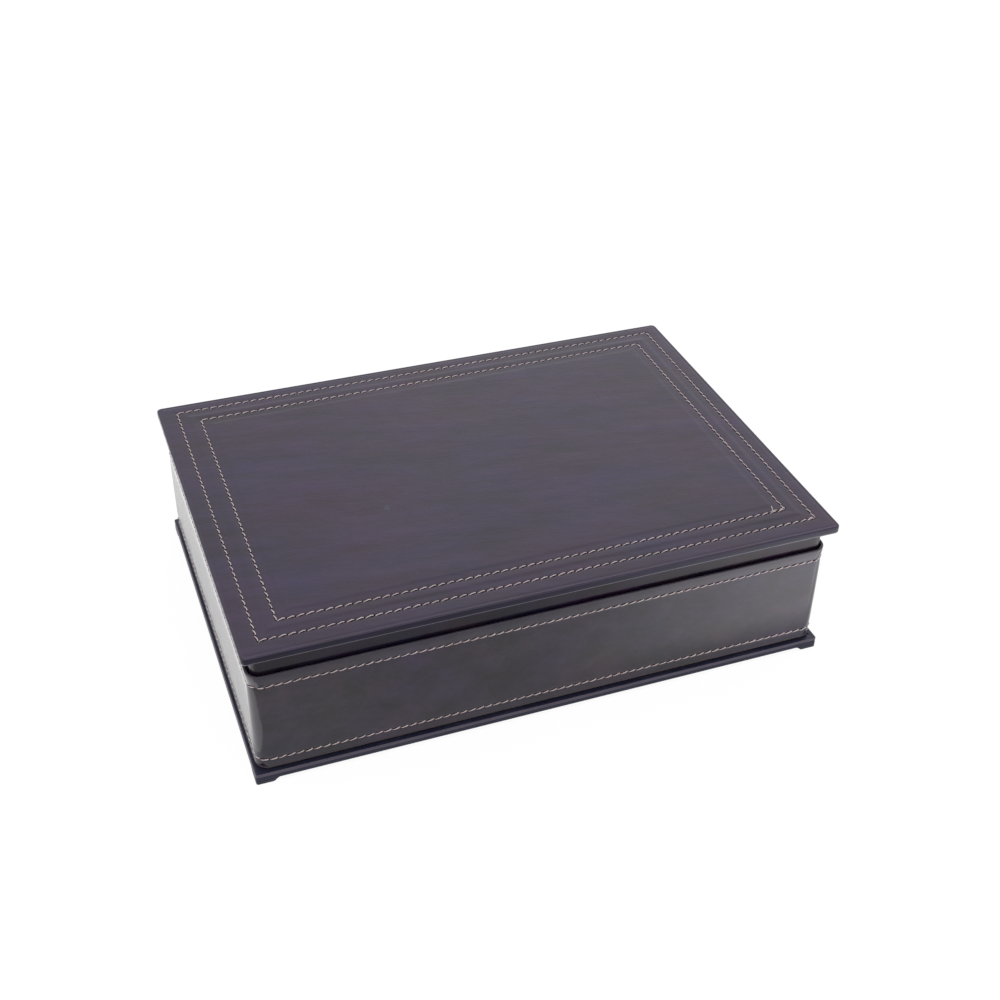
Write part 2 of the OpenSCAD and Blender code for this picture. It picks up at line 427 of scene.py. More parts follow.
@dataclass(frozen=True)
class LeatherFinish:
    """Dyed, waxed leather: drifting hue, drawn-out grain, fine pores and a soft wax gloss, with painted shade
    in the seam channels and needle holes where seams are given.
    """

    name: str
    dye: tuple[int, int, int]
    drift: float = 0.4
    grain: float = 0.4
    draw: Point = (0.2, 1.0, 1.0)
    turn: float = -10.0
    roughness: float = 0.25
    specular: float = 0.5
    sheen: float = 0.0
    wax: Point = (1.0, 1.0, 1.0)
    relief: float = 0.5
    seams: tuple[SeamMark, ...] = ()
    marks: bool = False

    def material(self) -> bpy.types.Material:
        """Builds the leather's material.

        Returns:
            The material.
        """
        g = Graph(self.name)
        drawn = g.stretched(self.draw, turn=self.turn)
        soft = g.stretched(tuple(0.45 + 0.55 * v for v in self.draw), turn=self.turn)
        cloud = g.varied(g.tint(30, 4, soft, 0.6), self.drift)
        fibre = g.noise(70, 6, drawn, 0.74)
        shade = g.math("ADD", g.math("MULTIPLY", g.math("SUBTRACT", fibre, 0.5), 3.0 * self.grain), 1.0)
        color = g.scaled(g.product(cloud, tone(*self.dye)[:3]), shade)
        fleck = g.math(
            "MULTIPLY",
            g.band(g.cells(160), 0.04, 0.1, 1.0, 0.0),
            g.band(g.parts(g.cells(160, output="Color"))[0], 0.93, 0.95),
        )
        color = g.blend(g.math("MULTIPLY", fleck, 0.25), color, tone(120, 114, 126))
        pores = g.cells(1000, g.stretched((0.75, 1.0, 1.0)), "SMOOTH_F1")
        normal = g.bump(g.noise(60, 3, rough=0.55), 0.3, 0.9 * MM * self.relief)
        normal = g.bump(fibre, 0.5, 0.5 * MM * self.relief, normal)
        normal = g.bump(pores, 0.5, 0.1 * MM * self.relief, normal)
        for seam in self.seams:
            holes, channel = level_seam(g, seam)
            # Painted shade: the pressed channel is darkened as if shaded by the thread.
            color = g.blend(g.math("MULTIPLY", channel, 0.25), color, tone(16, 14, 20))
            # Painted shade: each needle hole is drawn near black for the shade inside it.
            color = g.blend(g.math("MULTIPLY", holes, 0.9), color, tone(5, 4, 7))
            normal = g.bump(g.math("SUBTRACT", 1.0, holes), 0.6, 0.3 * MM, normal)
        if self.marks:
            color = self._wear_and_crease_shade(g, color)
        rough = g.band(g.noise(90, 4), 0.3, 0.7, self.roughness - 0.04, self.roughness + 0.06)
        rough = g.math("ADD", rough, g.math("MULTIPLY", g.math("SUBTRACT", fibre, 0.5), 0.15))
        return g.surface(
            color,
            rough,
            normal,
            Specular_IOR_Level=self.specular,
            Specular_Tint=(*self.wax, 1.0),
            Sheen_Weight=self.sheen,
            Sheen_Roughness=0.3,
        )

    @staticmethod
    def _wear_and_crease_shade(g: Graph, color: Socket) -> Socket:
        """The lid's few marks: a dark scuff and a pale rub from use, and a dark stroke painted as the shade
        of a faint crease.

        Args:
            g: Graph of the leather.
            color: Colour of the unmarked leather.

        Returns:
            The marked colour.
        """
        for x, y, wide, deep, share, mark in (
            (-0.0599, 0.0564, 4.5 * MM, 3.2 * MM, 0.6, (8, 8, 16)),
            (-0.0651, -0.0241, 2.2 * MM, 3.6 * MM, 0.4, (70, 74, 98)),
            # Painted shade: a thin dark stroke standing in for the shade of a crease.
            (0.0955, 0.049, 1.2 * MM, 6.5 * MM, 0.45, (8, 8, 18)),
        ):
            color = g.blend(g.math("MULTIPLY", g.spot(x, y, wide, deep), share), color, tone(*mark))
        return color


@dataclass(frozen=True)
class EdgeInkFinish:
    """Dye and wax rubbed into a cut or folded leather edge; some uses set light colours as a painted
    highlight or painted light on an edge.
    """

    name: str
    ink: tuple[int, int, int]
    worn: tuple[int, int, int]
    roughness: float = 0.35
    specular: float = 0.25
    wax: Point = (0.94, 0.9, 1.0)

    def material(self) -> bpy.types.Material:
        """Builds the edge's material.

        Returns:
            The material.
        """
        g = Graph(self.name)
        rub = g.band(g.noise(120, 5, g.stretched((0.35, 0.35, 1.6)), 0.65), 0.4, 0.68)
        color = g.blend(rub, tone(*self.ink), tone(*self.worn))
        normal = g.bump(g.noise(420, 4, g.stretched((0.3, 0.3, 1.4)), 0.6), 0.4, 0.12 * MM)
        normal = g.bump(g.noise(70, 2), 0.3, 0.6 * MM, normal)
        rough = g.band(g.noise(160, 3), 0.3, 0.7, self.roughness - 0.06, self.roughness + 0.08)
        return g.surface(
            color, rough, normal, Specular_IOR_Level=self.specular, Specular_Tint=(*self.wax, 1.0)
        )


@dataclass(frozen=True)
class ThreadFinish:
    """Two-ply waxed thread whose twist follows each stitch, with painted shade towards both ends of each
    stitch.
    """

    name: str
    pale: tuple[int, int, int]
    dusky: tuple[int, int, int]
    turns: float = 2.6

    def material(self) -> bpy.types.Material:
        """Builds the thread's material.

        Returns:
            The material.
        """
        g = Graph(self.name)
        rim_x, rim_y, _ = g.parts(g.add("ShaderNodeAttribute", attribute_name="rim").outputs["Vector"])
        run = g.add("ShaderNodeAttribute", attribute_name="run").outputs["Fac"]
        shade = g.add("ShaderNodeAttribute", attribute_name="shade").outputs["Fac"]
        round_thread = g.math("MULTIPLY", g.math("ARCTAN2", rim_y, rim_x), 2.0)
        phase = g.math("ADD", round_thread, g.math("MULTIPLY", run, 2 * math.pi * self.turns))
        ply = g.band(g.math("SINE", phase), -1.0, 1.0)
        color = g.blend(ply, tone(*self.dusky), tone(*self.pale))
        color = g.blend(g.math("MULTIPLY", shade, 0.5), color, tone(*self.dusky))
        # Painted shade: each stitch darkens at both ends, where it sinks into its holes.
        color = g.blend(g.band(run, 0.0, 0.18, 0.4, 0.0), color, tone(104, 94, 104))
        color = g.blend(g.band(run, 0.96, 1.0, 0.0, 0.5), color, tone(60, 54, 62))
        normal = g.bump(ply, 0.8, 0.1 * MM)
        normal = g.bump(g.noise(5200, 2), 0.35, 0.04 * MM, normal)
        return g.surface(
            color, 0.55, normal, Specular_IOR_Level=0.4, Sheen_Weight=0.1, Sheen_Roughness=0.4
        )


@dataclass(frozen=True)
class HoleShadeFinish:
    """Flat black painted as the shade inside a needle hole seen from outside."""

    name: str
    # Near black, painted as the shade inside the hole.
    ink: tuple[int, int, int]

    def material(self) -> bpy.types.Material:
        """Builds the material.

        Returns:
            The material.
        """
        g = Graph(self.name)
        color = g.blend(g.noise(3000, 2), tone(*self.ink), tone(2, 2, 3))
        normal = g.bump(g.noise(2500, 2), 0.3, 0.05 * MM)
        return g.surface(color, 0.95, normal, Specular_IOR_Level=0.02)


@dataclass(frozen=True)
class SuedeFinish:
    """Short nap cloth that lines the box, brushed a little unevenly."""

    name: str
    nap: tuple[int, int, int]
    brushed: tuple[int, int, int]
    sheen: float = 0.35

    def material(self) -> bpy.types.Material:
        """Builds the cloth's material.

        Returns:
            The material.
        """
        g = Graph(self.name)
        sweep = g.band(g.noise(18, 4, g.stretched((1.0, 1.6, 1.0)), 0.6), 0.38, 0.66)
        color = g.blend(sweep, tone(*self.nap), tone(*self.brushed))
        fibre = g.noise(2600, 3, rough=0.7)
        color = g.blend(g.math("MULTIPLY", g.band(fibre, 0.35, 0.7), 0.4), color, tone(*self.brushed))
        normal = g.bump(fibre, 0.55, 0.16 * MM)
        normal = g.bump(g.noise(140, 3), 0.25, 0.5 * MM, normal)
        return g.surface(
            color, 0.92, normal, Specular_IOR_Level=0.15, Sheen_Weight=self.sheen, Sheen_Roughness=0.5
        )


@dataclass(frozen=True)
class FibreboardFinish:
    """Pressed fibreboard, the cores under the leather, painted black as shade where an edge could be seen in
    a gap.
    """

    name: str
    board: tuple[int, int, int]
    fleck: tuple[int, int, int]
    # Height from which the board is painted black as the shade in the gap under the lip.
    shade_painted_above: float | None = None

    def material(self) -> bpy.types.Material:
        """Builds the board's material.

        Returns:
            The material.
        """
        g = Graph(self.name)
        fibre = g.band(g.noise(900, 4, g.stretched((0.35, 0.6, 1.5)), 0.65), 0.36, 0.66)
        color = g.blend(fibre, tone(*self.fleck), tone(*self.board))
        dark = g.band(g.cells(420), 0.08, 0.22, 0.5, 0.0)
        color = g.blend(dark, color, tone(*self.fleck))
        # Painted shade: black from this height up, blended in over half a millimetre below it.
        if self.shade_painted_above is not None:
            height = g.parts(g.place())[2]
            painted_shade = g.band(height, self.shade_painted_above - 0.5 * MM, self.shade_painted_above)
            color = g.blend(painted_shade, color, tone(12, 11, 16))
        normal = g.bump(fibre, 0.4, 0.12 * MM)
        return g.surface(color, 0.85, normal, Specular_IOR_Level=0.15)


# Mesh making


@dataclass(frozen=True)
class Loop:
    """A rectangle with round corners, seen from above."""

    half_l: float
    half_w: float
    corner: float
    shift_x: float = 0.0
    shift_y: float = 0.0

    def inset(self, by: float) -> "Loop":
        """The same loop drawn in on every side, or out for a negative distance.

        Args:
            by: The distance.

        Returns:
            The new loop.
        """
        return Loop(
            self.half_l - by, self.half_w - by, max(self.corner - by, SHARP), self.shift_x, self.shift_y
        )

    def moved(self, x: float, y: float) -> "Loop":
        """The same loop, shifted."""
        return Loop(self.half_l, self.half_w, self.corner, self.shift_x + x, self.shift_y + y)

    def length(self) -> float:
        """Distance round the loop."""
        return 4 * (self.half_l + self.half_w - 2 * self.corner) + 2 * math.pi * self.corner

    def points(self, along_l: int, along_w: int, turns: int) -> list[tuple[float, float]]:
        """Points round the loop, counter-clockwise from the left end of the front.

        Args:
            along_l: Spans on each long side.
            along_w: Spans on each short side.
            turns: Spans on each corner.

        Returns:
            The points, as many for every loop with the same arguments.
        """
        found: list[tuple[float, float]] = []
        for side in Side:
            flip = side in (Side.LEFT, Side.RIGHT)
            half, reach = (self.half_w, self.half_l) if flip else (self.half_l, self.half_w)
            spans = along_w if flip else along_l
            turn = math.radians(side.value)
            run = half - self.corner
            local = [(-run + 2 * run * i / spans, -reach) for i in range(spans)]
            bends = [math.pi / 2 * i / turns for i in range(turns)]
            local += [
                (run + self.corner * math.sin(a), -reach + self.corner * (1 - math.cos(a))) for a in bends
            ]
            c, s = round(math.cos(turn)), round(math.sin(turn))
            found += [(x * c - y * s + self.shift_x, x * s + y * c + self.shift_y) for x, y in local]
        return found


def loop_round(node: str, corner: float, spare: float = 0.0) -> Loop:
    """The outline of a CAD node, seen from above.

    Args:
        node: Name of the node.
        corner: Radius of its corners.
        spare: How far the loop lies outside it.

    Returns:
        The loop.
    """
    low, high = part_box(node)
    return Loop((high.x - low.x) / 2 + spare, (high.y - low.y) / 2 + spare, corner)


def mesh_object(name: str, points: Sequence[Point], faces: Sequence[Sequence[int]]) -> bpy.types.Object:
    """Makes a smooth-shaded object at the origin from points and faces.

    Args:
        name: Name of the piece.
        points: Vertices.
        faces: Faces as indices.

    Returns:
        The object, linked to the scene.
    """
    mesh = bpy.data.meshes.new(name)
    mesh.from_pydata([tuple(p) for p in points], [], [tuple(f) for f in faces])
    mesh.validate()
    mesh.polygons.foreach_set("use_smooth", [True] * len(mesh.polygons))
    mesh.update()
    made = bpy.data.objects.new(name, mesh)
    bpy.context.scene.collection.objects.link(made)
    return made


def drop_modifiers(piece: bpy.types.Object) -> bpy.types.Object:
    """Turns a piece's modifiers into plain mesh and takes them off.

    Args:
        piece: The piece.

    Returns:
        The same piece.
    """
    bpy.context.view_layer.update()
    graph = bpy.context.evaluated_depsgraph_get()
    mesh = bpy.data.meshes.new_from_object(
        piece.evaluated_get(graph), preserve_all_data_layers=True, depsgraph=graph
    )
    old = piece.data
    piece.modifiers.clear()
    piece.data = mesh
    bpy.data.meshes.remove(old)
    mesh.name = piece.name
    return piece


@dataclass
class Skin:
    """A sheet of leather built as rings of points, one ring for each station of its outline.

    Stations run so that the sheet's outside is on the left of the path as it goes in from the edge.
    """

    along_l: int
    along_w: int
    turns: int
    points: list[Point] = field(default_factory=list)
    faces: list[tuple[int, ...]] = field(default_factory=list)
    tints: list[int] = field(default_factory=list)
    rings: int = 0

    @property
    def count(self) -> int:
        """Points in a ring."""
        return 2 * (self.along_l + self.along_w) + 4 * self.turns

    def ring(self, loop: Loop, z: float, tint: int = 0) -> None:
        """Adds a ring and joins it to the one before.

        Args:
            loop: Outline of the ring.
            z: Height.
            tint: Material slot of the faces that lead to this ring.
        """
        start = len(self.points)
        self.points += [(x, y, z) for x, y in loop.points(self.along_l, self.along_w, self.turns)]
        if self.rings:
            self._bridge(start - self.count, start, tint)
        self.rings += 1

    def lower_bend(self, loop: Loop, z: float, radius: float, tints: Sequence[int]) -> None:
        """Rounds a lower corner, outward and up.

        Args:
            loop: Outline at the corner's outer end.
            z: Height of the corner's lower end.
            radius: Rounding.
            tints: Material slot of each of its rings.
        """
        for turn, tint in enumerate(tints):
            a = math.pi / 2 * turn / (len(tints) - 1)
            self.ring(loop.inset(radius * (1 - math.sin(a))), z + radius * (1 - math.cos(a)), tint)

    def upper_bend(self, loop: Loop, z: float, radius: float, tints: Sequence[int]) -> None:
        """Rounds an upper corner, up and inward.

        Args:
            loop: Outline at the corner's outer end.
            z: Height of the corner's upper end.
            radius: Rounding.
            tints: Material slot of each of its rings.
        """
        for turn, tint in enumerate(tints):
            a = math.pi / 2 * turn / (len(tints) - 1)
            self.ring(loop.inset(radius * (1 - math.cos(a))), z - radius * (1 - math.sin(a)), tint)

    def _bridge(self, first: int, second: int, tint: int) -> None:
        """Joins two rings with faces.

        Args:
            first: Number of the first ring's first point.
            second: Number of the second ring's first point.
            tint: Material slot of the faces.
        """
        n = self.count
        for i in range(n):
            j = (i + 1) % n
            self.faces.append((first + i, first + j, second + j, second + i))
            self.tints.append(tint)

    def close_round(self, tint: int = 0) -> None:
        """Joins the last ring to the first, which makes the sheet a closed band."""
        self._bridge((self.rings - 1) * self.count, 0, tint)

    def fill(self, which: int, downward: bool, tint: int = 0) -> None:
        """Closes a ring with a grid of faces.

        Args:
            which: Number of the ring.
            downward: Whether the faces look down.
            tint: Material slot of the faces.
        """
        base, n, t = which * self.count, self.count, self.turns
        rim = [base + i for i in range(n)]
        l, w = self.along_l, self.along_w
        corner = [0, l + t, l + t + w + t, l + t + w + t + l + t]
        front = [rim[corner[0] + i] for i in range(l + 1)]
        right = [rim[corner[1] + i] for i in range(w + 1)]
        back = [rim[corner[2] + i] for i in range(l + 1)][::-1]
        left = [rim[(corner[3] + i) % n] for i in range(w + 1)][::-1]
        rows: list[list[int]] = []
        for j in range(w + 1):
            if j == 0:
                rows.append([left[0], *front, right[0]])
                continue
            if j == w:
                rows.append([left[w], *back, right[w]])
                continue
            a, b = self.points[left[j]], self.points[right[j]]
            row = [left[j]]
            for i in range(l + 1):
                x = self.points[front[i]][0]
                share = (x - a[0]) / (b[0] - a[0])
                row.append(len(self.points))
                self.points.append((x, a[1] + (b[1] - a[1]) * share, a[2] + (b[2] - a[2]) * share))
            rows.append([*row, right[j]])
        for low, high in zip(rows, rows[1:]):
            for i in range(len(low) - 1):
                face = (low[i], low[i + 1], high[i + 1], high[i])
                self.faces.append(face[::-1] if downward else face)
                self.tints.append(tint)
        for k in range(4):
            fan = [rim[(corner[k] - t + i) % n] for i in range(t + 1)]
            if len(fan) > 2:
                self.faces.append(tuple(fan[::-1] if downward else fan))
                self.tints.append(tint)

    def build(self, name: str, materials: Sequence[bpy.types.Material]) -> bpy.types.Object:
        """Makes the piece.

        Args:
            name: Name of the piece.
            materials: Its materials, by slot.

        Returns:
            The object.
        """
        made = mesh_object(name, self.points, self.faces)
        for material in materials:
            made.data.materials.append(material)
        made.data.polygons.foreach_set("material_index", self.tints)
        return made


def soft_block(
    name: str, low: Vector, high: Vector, radius: float, spans: tuple[int, int, int]
) -> bpy.types.Object:
    """A panel with rounded edges, covered in cloth.

    Args:
        name: Name of the piece.
        low: Lowest corner.
        high: Highest corner.
        radius: Rounding of the edges.
        spans: Spans along X, Y and Z between the rounded edges.

    Returns:
        The object.
    """
    lines: list[list[float]] = []
    for a in range(3):
        bend = [radius * (1 - math.cos(math.pi / 2 * i / 4)) for i in range(4)]
        inner = np.linspace(low[a] + radius, high[a] - radius, spans[a] + 1)
        lines.append([low[a] + b for b in bend] + list(inner) + [high[a] - b for b in bend[::-1]])
    index: dict[tuple[int, int, int], int] = {}
    points: list[Point] = []
    faces: list[tuple[int, ...]] = []
    last = [len(line) - 1 for line in lines]

    def corner(i: int, j: int, k: int) -> int:
        """The point on a crossing of lines, made when it is first asked for.

        Args:
            i: Line along X.
            j: Line along Y.
            k: Line along Z.

        Returns:
            The point's number.
        """
        if (i, j, k) not in index:
            p = Vector((lines[0][i], lines[1][j], lines[2][k]))
            core = Vector([min(max(p[a], low[a] + radius), high[a] - radius) for a in range(3)])
            away = p - core
            if away.length > 1e-9:
                p = core + away.normalized() * radius
            index[(i, j, k)] = len(points)
            points.append(tuple(p))
        return index[(i, j, k)]

    for a in range(3):
        b, c = (a + 1) % 3, (a + 2) % 3
        for end in (0, last[a]):
            for m in range(last[b]):
                for n in range(last[c]):
                    quad = []
                    for u, v in ((m, n), (m + 1, n), (m + 1, n + 1), (m, n + 1)):
                        at = [0, 0, 0]
                        at[a], at[b], at[c] = end, u, v
                        quad.append(corner(*at))
                    faces.append(tuple(quad if end else quad[::-1]))
    return mesh_object(name, points, faces)


# Stitching


class StitchTree:
    """Geometry nodes that lay one arched, twisted stitch after another along paths."""

    def __init__(self) -> None:
        """Builds the node tree and its named inputs."""
        self.tree = bpy.data.node_groups.new("stitches_along_paths", "GeometryNodeTree")
        self.ids: dict[str, str] = {}
        self._input("Paths", "NodeSocketGeometry")
        for label in (
            "Pitch", "Stitch Length", "Thread Width", "Taper", "Arch", "Sink", "Slant", "Hole", "Hole Depth"
        ):
            self._input(label, "NodeSocketFloat")
        self._input("Seed", "NodeSocketInt")
        self._input("Thread", "NodeSocketMaterial")
        # Material of the black lenses painted as the shade in the needle holes.
        self._input("Hole Shade", "NodeSocketMaterial")
        self.tree.interface.new_socket("Stitches", in_out="OUTPUT", socket_type="NodeSocketGeometry")
        self.given = self.tree.nodes.new("NodeGroupInput")
        self._build()

    def _input(self, label: str, kind: str) -> None:
        """Adds a named input."""
        socket = self.tree.interface.new_socket(label, in_out="INPUT", socket_type=kind)
        self.ids[label] = socket.identifier

    def _add(self, kind: str, inputs: Inputs | None = None, **settings: object) -> bpy.types.Node:
        """Adds a node to the tree, as add_node does."""
        return add_node(self.tree, kind, inputs, **settings)

    def _math(self, operation: str, a: Socket | float, b: Socket | float = 0.0) -> Socket:
        """The result of a Math node."""
        return self._add("ShaderNodeMath", {0: a, 1: b}, operation=operation).outputs[0]

    def _stored(self, name: str, kind: str) -> Socket:
        """A value kept on the geometry under a name."""
        return self._add("GeometryNodeInputNamedAttribute", {"Name": name}, data_type=kind).outputs[0]

    def _store(self, geometry: Socket, name: str, value: Socket, kind: str, domain: str = "POINT") -> Socket:
        """Keeps a value on the geometry under a name.

        Args:
            geometry: The geometry.
            name: The name.
            value: The value.
            kind: Its data type.
            domain: What it is kept on.

        Returns:
            The geometry with the value.
        """
        node = self._add(
            "GeometryNodeStoreNamedAttribute",
            {"Geometry": geometry, "Name": name, "Value": value},
            data_type=kind,
            domain=domain,
        )
        return node.outputs[0]

    def _stitch(self) -> Socket:
        """One stitch along X, thin where it leaves its hole, with the next hole at its thick end.

        Returns:
            The stitch.
        """
        given = self.given.outputs
        reach = self._math("MULTIPLY", given["Stitch Length"], 0.5)
        back = self._math("MULTIPLY", reach, -1.0)
        start = self._add("ShaderNodeCombineXYZ", {0: back}).outputs[0]
        end = self._add("ShaderNodeCombineXYZ", {0: reach}).outputs[0]
        line = self._add("GeometryNodeCurvePrimitiveLine", {"Start": start, "End": end}).outputs[0]
        rail = self._add("GeometryNodeResampleCurve", {"Curve": line, "Count": 9}, mode="COUNT").outputs[0]
        run = self._add("GeometryNodeSplineParameter").outputs["Factor"]
        rail = self._store(rail, "run", run, "FLOAT")
        bow = self._math("SINE", self._math("MULTIPLY", self._math("POWER", run, 1.25), math.pi))
        lift = self._math("POWER", self._math("MAXIMUM", bow, 0.0), 0.5)
        rise = self._math("MULTIPLY", lift, self._math("ADD", given["Arch"], given["Sink"]))
        height = self._math("SUBTRACT", rise, given["Sink"])
        sway = self._math("SINE", self._math("MULTIPLY", run, 2 * math.pi))
        sideways = self._math("MULTIPLY", sway, self._math("MULTIPLY", given["Thread Width"], -0.16))
        offset = self._add("ShaderNodeCombineXYZ", {1: sideways, 2: height}).outputs[0]
        rail = self._add("GeometryNodeSetPosition", {"Geometry": rail, "Offset": offset}).outputs[0]
        rim = self._add(
            "GeometryNodeCurvePrimitiveCircle", {"Resolution": 7, "Radius": 1.0}, mode="RADIUS"
        ).outputs[0]
        rim = self._store(rim, "rim", self._add("GeometryNodeInputPosition").outputs[0], "FLOAT_VECTOR")
        swell = self._math("ADD", self._math("MULTIPLY", run, given["Taper"]), 1.0)
        swell = self._math("SUBTRACT", swell, self._math("MULTIPLY", given["Taper"], 0.62))
        girth = self._math("MULTIPLY", self._math("MULTIPLY", given["Thread Width"], 0.5), swell)
        girth = self._math("MULTIPLY", girth, self._math("ADD", self._math("MULTIPLY", lift, 0.45), 0.55))
        tube = self._add(
            "GeometryNodeCurveToMesh",
            {"Curve": rail, "Profile Curve": rim, "Scale": girth, "Fill Caps": True},
        ).outputs[0]
        tube = self._add("GeometryNodeSetShadeSmooth", {"Geometry": tube}).outputs[0]
        sewn = self._add("GeometryNodeSetMaterial", {"Geometry": tube, "Material": given["Thread"]})
        both = self.tree.nodes.new("GeometryNodeJoinGeometry")
        self.tree.links.new(self._hole(), both.inputs[0])
        self.tree.links.new(sewn.outputs[0], both.inputs[0])
        return both.outputs[0]

    def _hole(self) -> Socket:
        """A needle hole past the stitch's far end: a thin black lens that lies on the leather as painted
        shade for the hole.

        Returns:
            The hole.
        """
        given = self.given.outputs
        disc = self._add(
            "GeometryNodeMeshCylinder", {"Vertices": 9, "Radius": 0.5, "Depth": 1.0}, fill_type="NGON"
        ).outputs[0]
        far = self._math("MULTIPLY", given["Pitch"], 0.49)
        aside = self._math("MULTIPLY", given["Thread Width"], -0.12)
        place = self._add(
            "ShaderNodeCombineXYZ", {0: far, 1: aside, 2: self._math("MULTIPLY", given["Hole Depth"], -1.0)}
        ).outputs[0]
        long = self._math("MULTIPLY", given["Hole"], 1.25)
        size = self._add("ShaderNodeCombineXYZ", {0: long, 1: given["Hole"], 2: 0.08 * MM}).outputs[0]
        disc = self._add(
            "GeometryNodeTransform", {"Geometry": disc, "Translation": place, "Scale": size}
        ).outputs[0]
        painted_shade = self._add("GeometryNodeSetMaterial", {"Geometry": disc, "Material": given["Hole Shade"]})
        return painted_shade.outputs[0]

    def _build(self) -> None:
        """Joins the nodes from the paths to the finished stitches."""
        given = self.given.outputs
        curve = self._add("GeometryNodeMeshToCurve", {"Mesh": given["Paths"]}).outputs[0]
        length = self._add("GeometryNodeSplineLength").outputs["Length"]
        count = self._stored("stitches", "INT")
        half = self._math("DIVIDE", length, self._math("MULTIPLY", count, 2.0))
        along = self._add("GeometryNodeInputTangent").outputs[0]
        curve = self._store(curve, "along", along, "FLOAT_VECTOR")
        trimmed = self._add(
            "GeometryNodeTrimCurve",
            {"Curve": curve, "Start_001": half, "End_001": self._math("SUBTRACT", length, half)},
            mode="LENGTH",
        ).outputs[0]
        centres = self._add(
            "GeometryNodeResampleCurve", {"Curve": trimmed, "Count": count}, mode="COUNT"
        ).outputs[0]
        stored = self._stored("along", "FLOAT_VECTOR")
        tangent = self._add(
            "GeometryNodeSwitch",
            {"Switch": self._math("LESS_THAN", count, 1.5), "False": along, "True": stored},
            input_type="VECTOR",
        ).outputs[0]
        outward = self._stored("outward", "FLOAT_VECTOR")
        turned = self._add("FunctionNodeAlignRotationToVector", {"Vector": tangent}, axis="X").outputs[0]
        turned = self._add(
            "FunctionNodeAlignRotationToVector",
            {"Rotation": turned, "Vector": outward},
            axis="Z",
            pivot_axis="X",
        ).outputs[0]
        wander = self._random(-0.035, 0.035, 0)
        lean = self._add(
            "FunctionNodeAxisAngleToRotation",
            {"Axis": (0.0, 0.0, 1.0), "Angle": self._math("ADD", given["Slant"], wander)},
        ).outputs[0]
        turned = self._add(
            "FunctionNodeRotateRotation", {"Rotation": turned, "Rotate By": lean}, rotation_space="LOCAL"
        ).outputs[0]
        size = self._random(0.94, 1.06, 1)
        plump = self._random(0.9, 1.1, 2)
        scale = self._add("ShaderNodeCombineXYZ", {0: size, 1: plump, 2: plump}).outputs[0]
        placed = self._add(
            "GeometryNodeInstanceOnPoints",
            {"Points": centres, "Instance": self._stitch(), "Rotation": turned, "Scale": scale},
        ).outputs[0]
        placed = self._store(placed, "shade", self._random(0.0, 1.0, 3), "FLOAT", "INSTANCE")
        plain = self._add("GeometryNodeRealizeInstances", {"Geometry": placed}).outputs[0]
        out = self.tree.nodes.new("NodeGroupOutput")
        self.tree.links.new(plain, out.inputs[0])

    def _random(self, low: float, high: float, more: int) -> Socket:
        """A number for each stitch, from the tree's seed.

        Args:
            low: Least value.
            high: Greatest value.
            more: What is added to the seed, so that each use differs.

        Returns:
            The number.
        """
        seed = self._math("ADD", self.given.outputs["Seed"], float(more))
        node = self._add(
            "FunctionNodeRandomValue", {"Min_001": low, "Max_001": high, "Seed": seed}, data_type="FLOAT"
        )
        return next(s for s in node.outputs if s.identifier == "Value_001")


@dataclass
class Path:
    """A line that thread follows, with the number of stitches in it."""

    points: list[Point]
    stitches: int


@dataclass
class Seam:
    """One seam: paths, and the thread that is sewn along them."""

    name: str
    facing: Facing
    pitch: float
    stitch: float
    thread: float
    slant: float
    seed: int
    taper: float = 0.32
    arch: float = 0.3 * MM
    sink: float = 0.25 * MM
    hole: float = 0.9 * MM
    hole_depth: float = 0.06 * MM
    paths: list[Path] = field(default_factory=list)

    def build(
        self, tree: StitchTree, thread: bpy.types.Material, ink: bpy.types.Material
    ) -> bpy.types.Object:
        """Sews the seam and turns it into a plain mesh.

        Args:
            tree: The stitching nodes.
            thread: The thread's material.
            ink: The needle holes' material, black as painted shade.

        Returns:
            The object.
        """
        points: list[Point] = []
        edges: list[tuple[int, int]] = []
        counts: list[int] = []
        for path in self.paths:
            base = len(points)
            points += path.points
            counts += [path.stitches] * len(path.points)
            edges += [(base + i, base + i + 1) for i in range(len(path.points) - 1)]
        mesh = bpy.data.meshes.new(self.name)
        mesh.from_pydata(points, edges, [])
        outward = np.tile(np.array([0.0, 0.0, 1.0]), (len(points), 1))
        if self.facing is Facing.OUTWARD:
            outward = self._outward(points, edges)
        mesh.attributes.new("outward", "FLOAT_VECTOR", "POINT").data.foreach_set("vector", outward.ravel())
        mesh.attributes.new("stitches", "INT", "POINT").data.foreach_set("value", counts)
        made = bpy.data.objects.new(self.name, mesh)
        bpy.context.scene.collection.objects.link(made)
        sewing = made.modifiers.new("sewing", "NODES")
        sewing.node_group = tree.tree
        for label, value in (
            ("Pitch", self.pitch),
            ("Stitch Length", self.stitch),
            ("Thread Width", self.thread),
            ("Taper", self.taper),
            ("Arch", self.arch),
            ("Sink", self.sink),
            ("Slant", math.radians(self.slant)),
            ("Hole", self.hole),
            ("Hole Depth", self.hole_depth),
            ("Seed", self.seed),
            ("Thread", thread),
            ("Hole Shade", ink),
        ):
            sewing[tree.ids[label]] = value
        return drop_modifiers(made)

    @staticmethod
    def _outward(points: Sequence[Point], edges: Sequence[tuple[int, int]]) -> np.ndarray:
        """The level direction away from the box along a path that runs counter-clockwise.

        Args:
            points: The path's points.
            edges: Pairs of points that follow each other.

        Returns:
            A direction for each point.
        """
        found = np.zeros((len(points), 3))
        for a, b in edges:
            along = np.array(points[b]) - np.array(points[a])
            away = np.array([along[1], -along[0], 0.0])
            away /= max(np.linalg.norm(away), 1e-12)
            found[a] += away
            found[b] += away
        return found / np.maximum(np.linalg.norm(found, axis=1, keepdims=True), 1e-12)


# Sub-assemblies


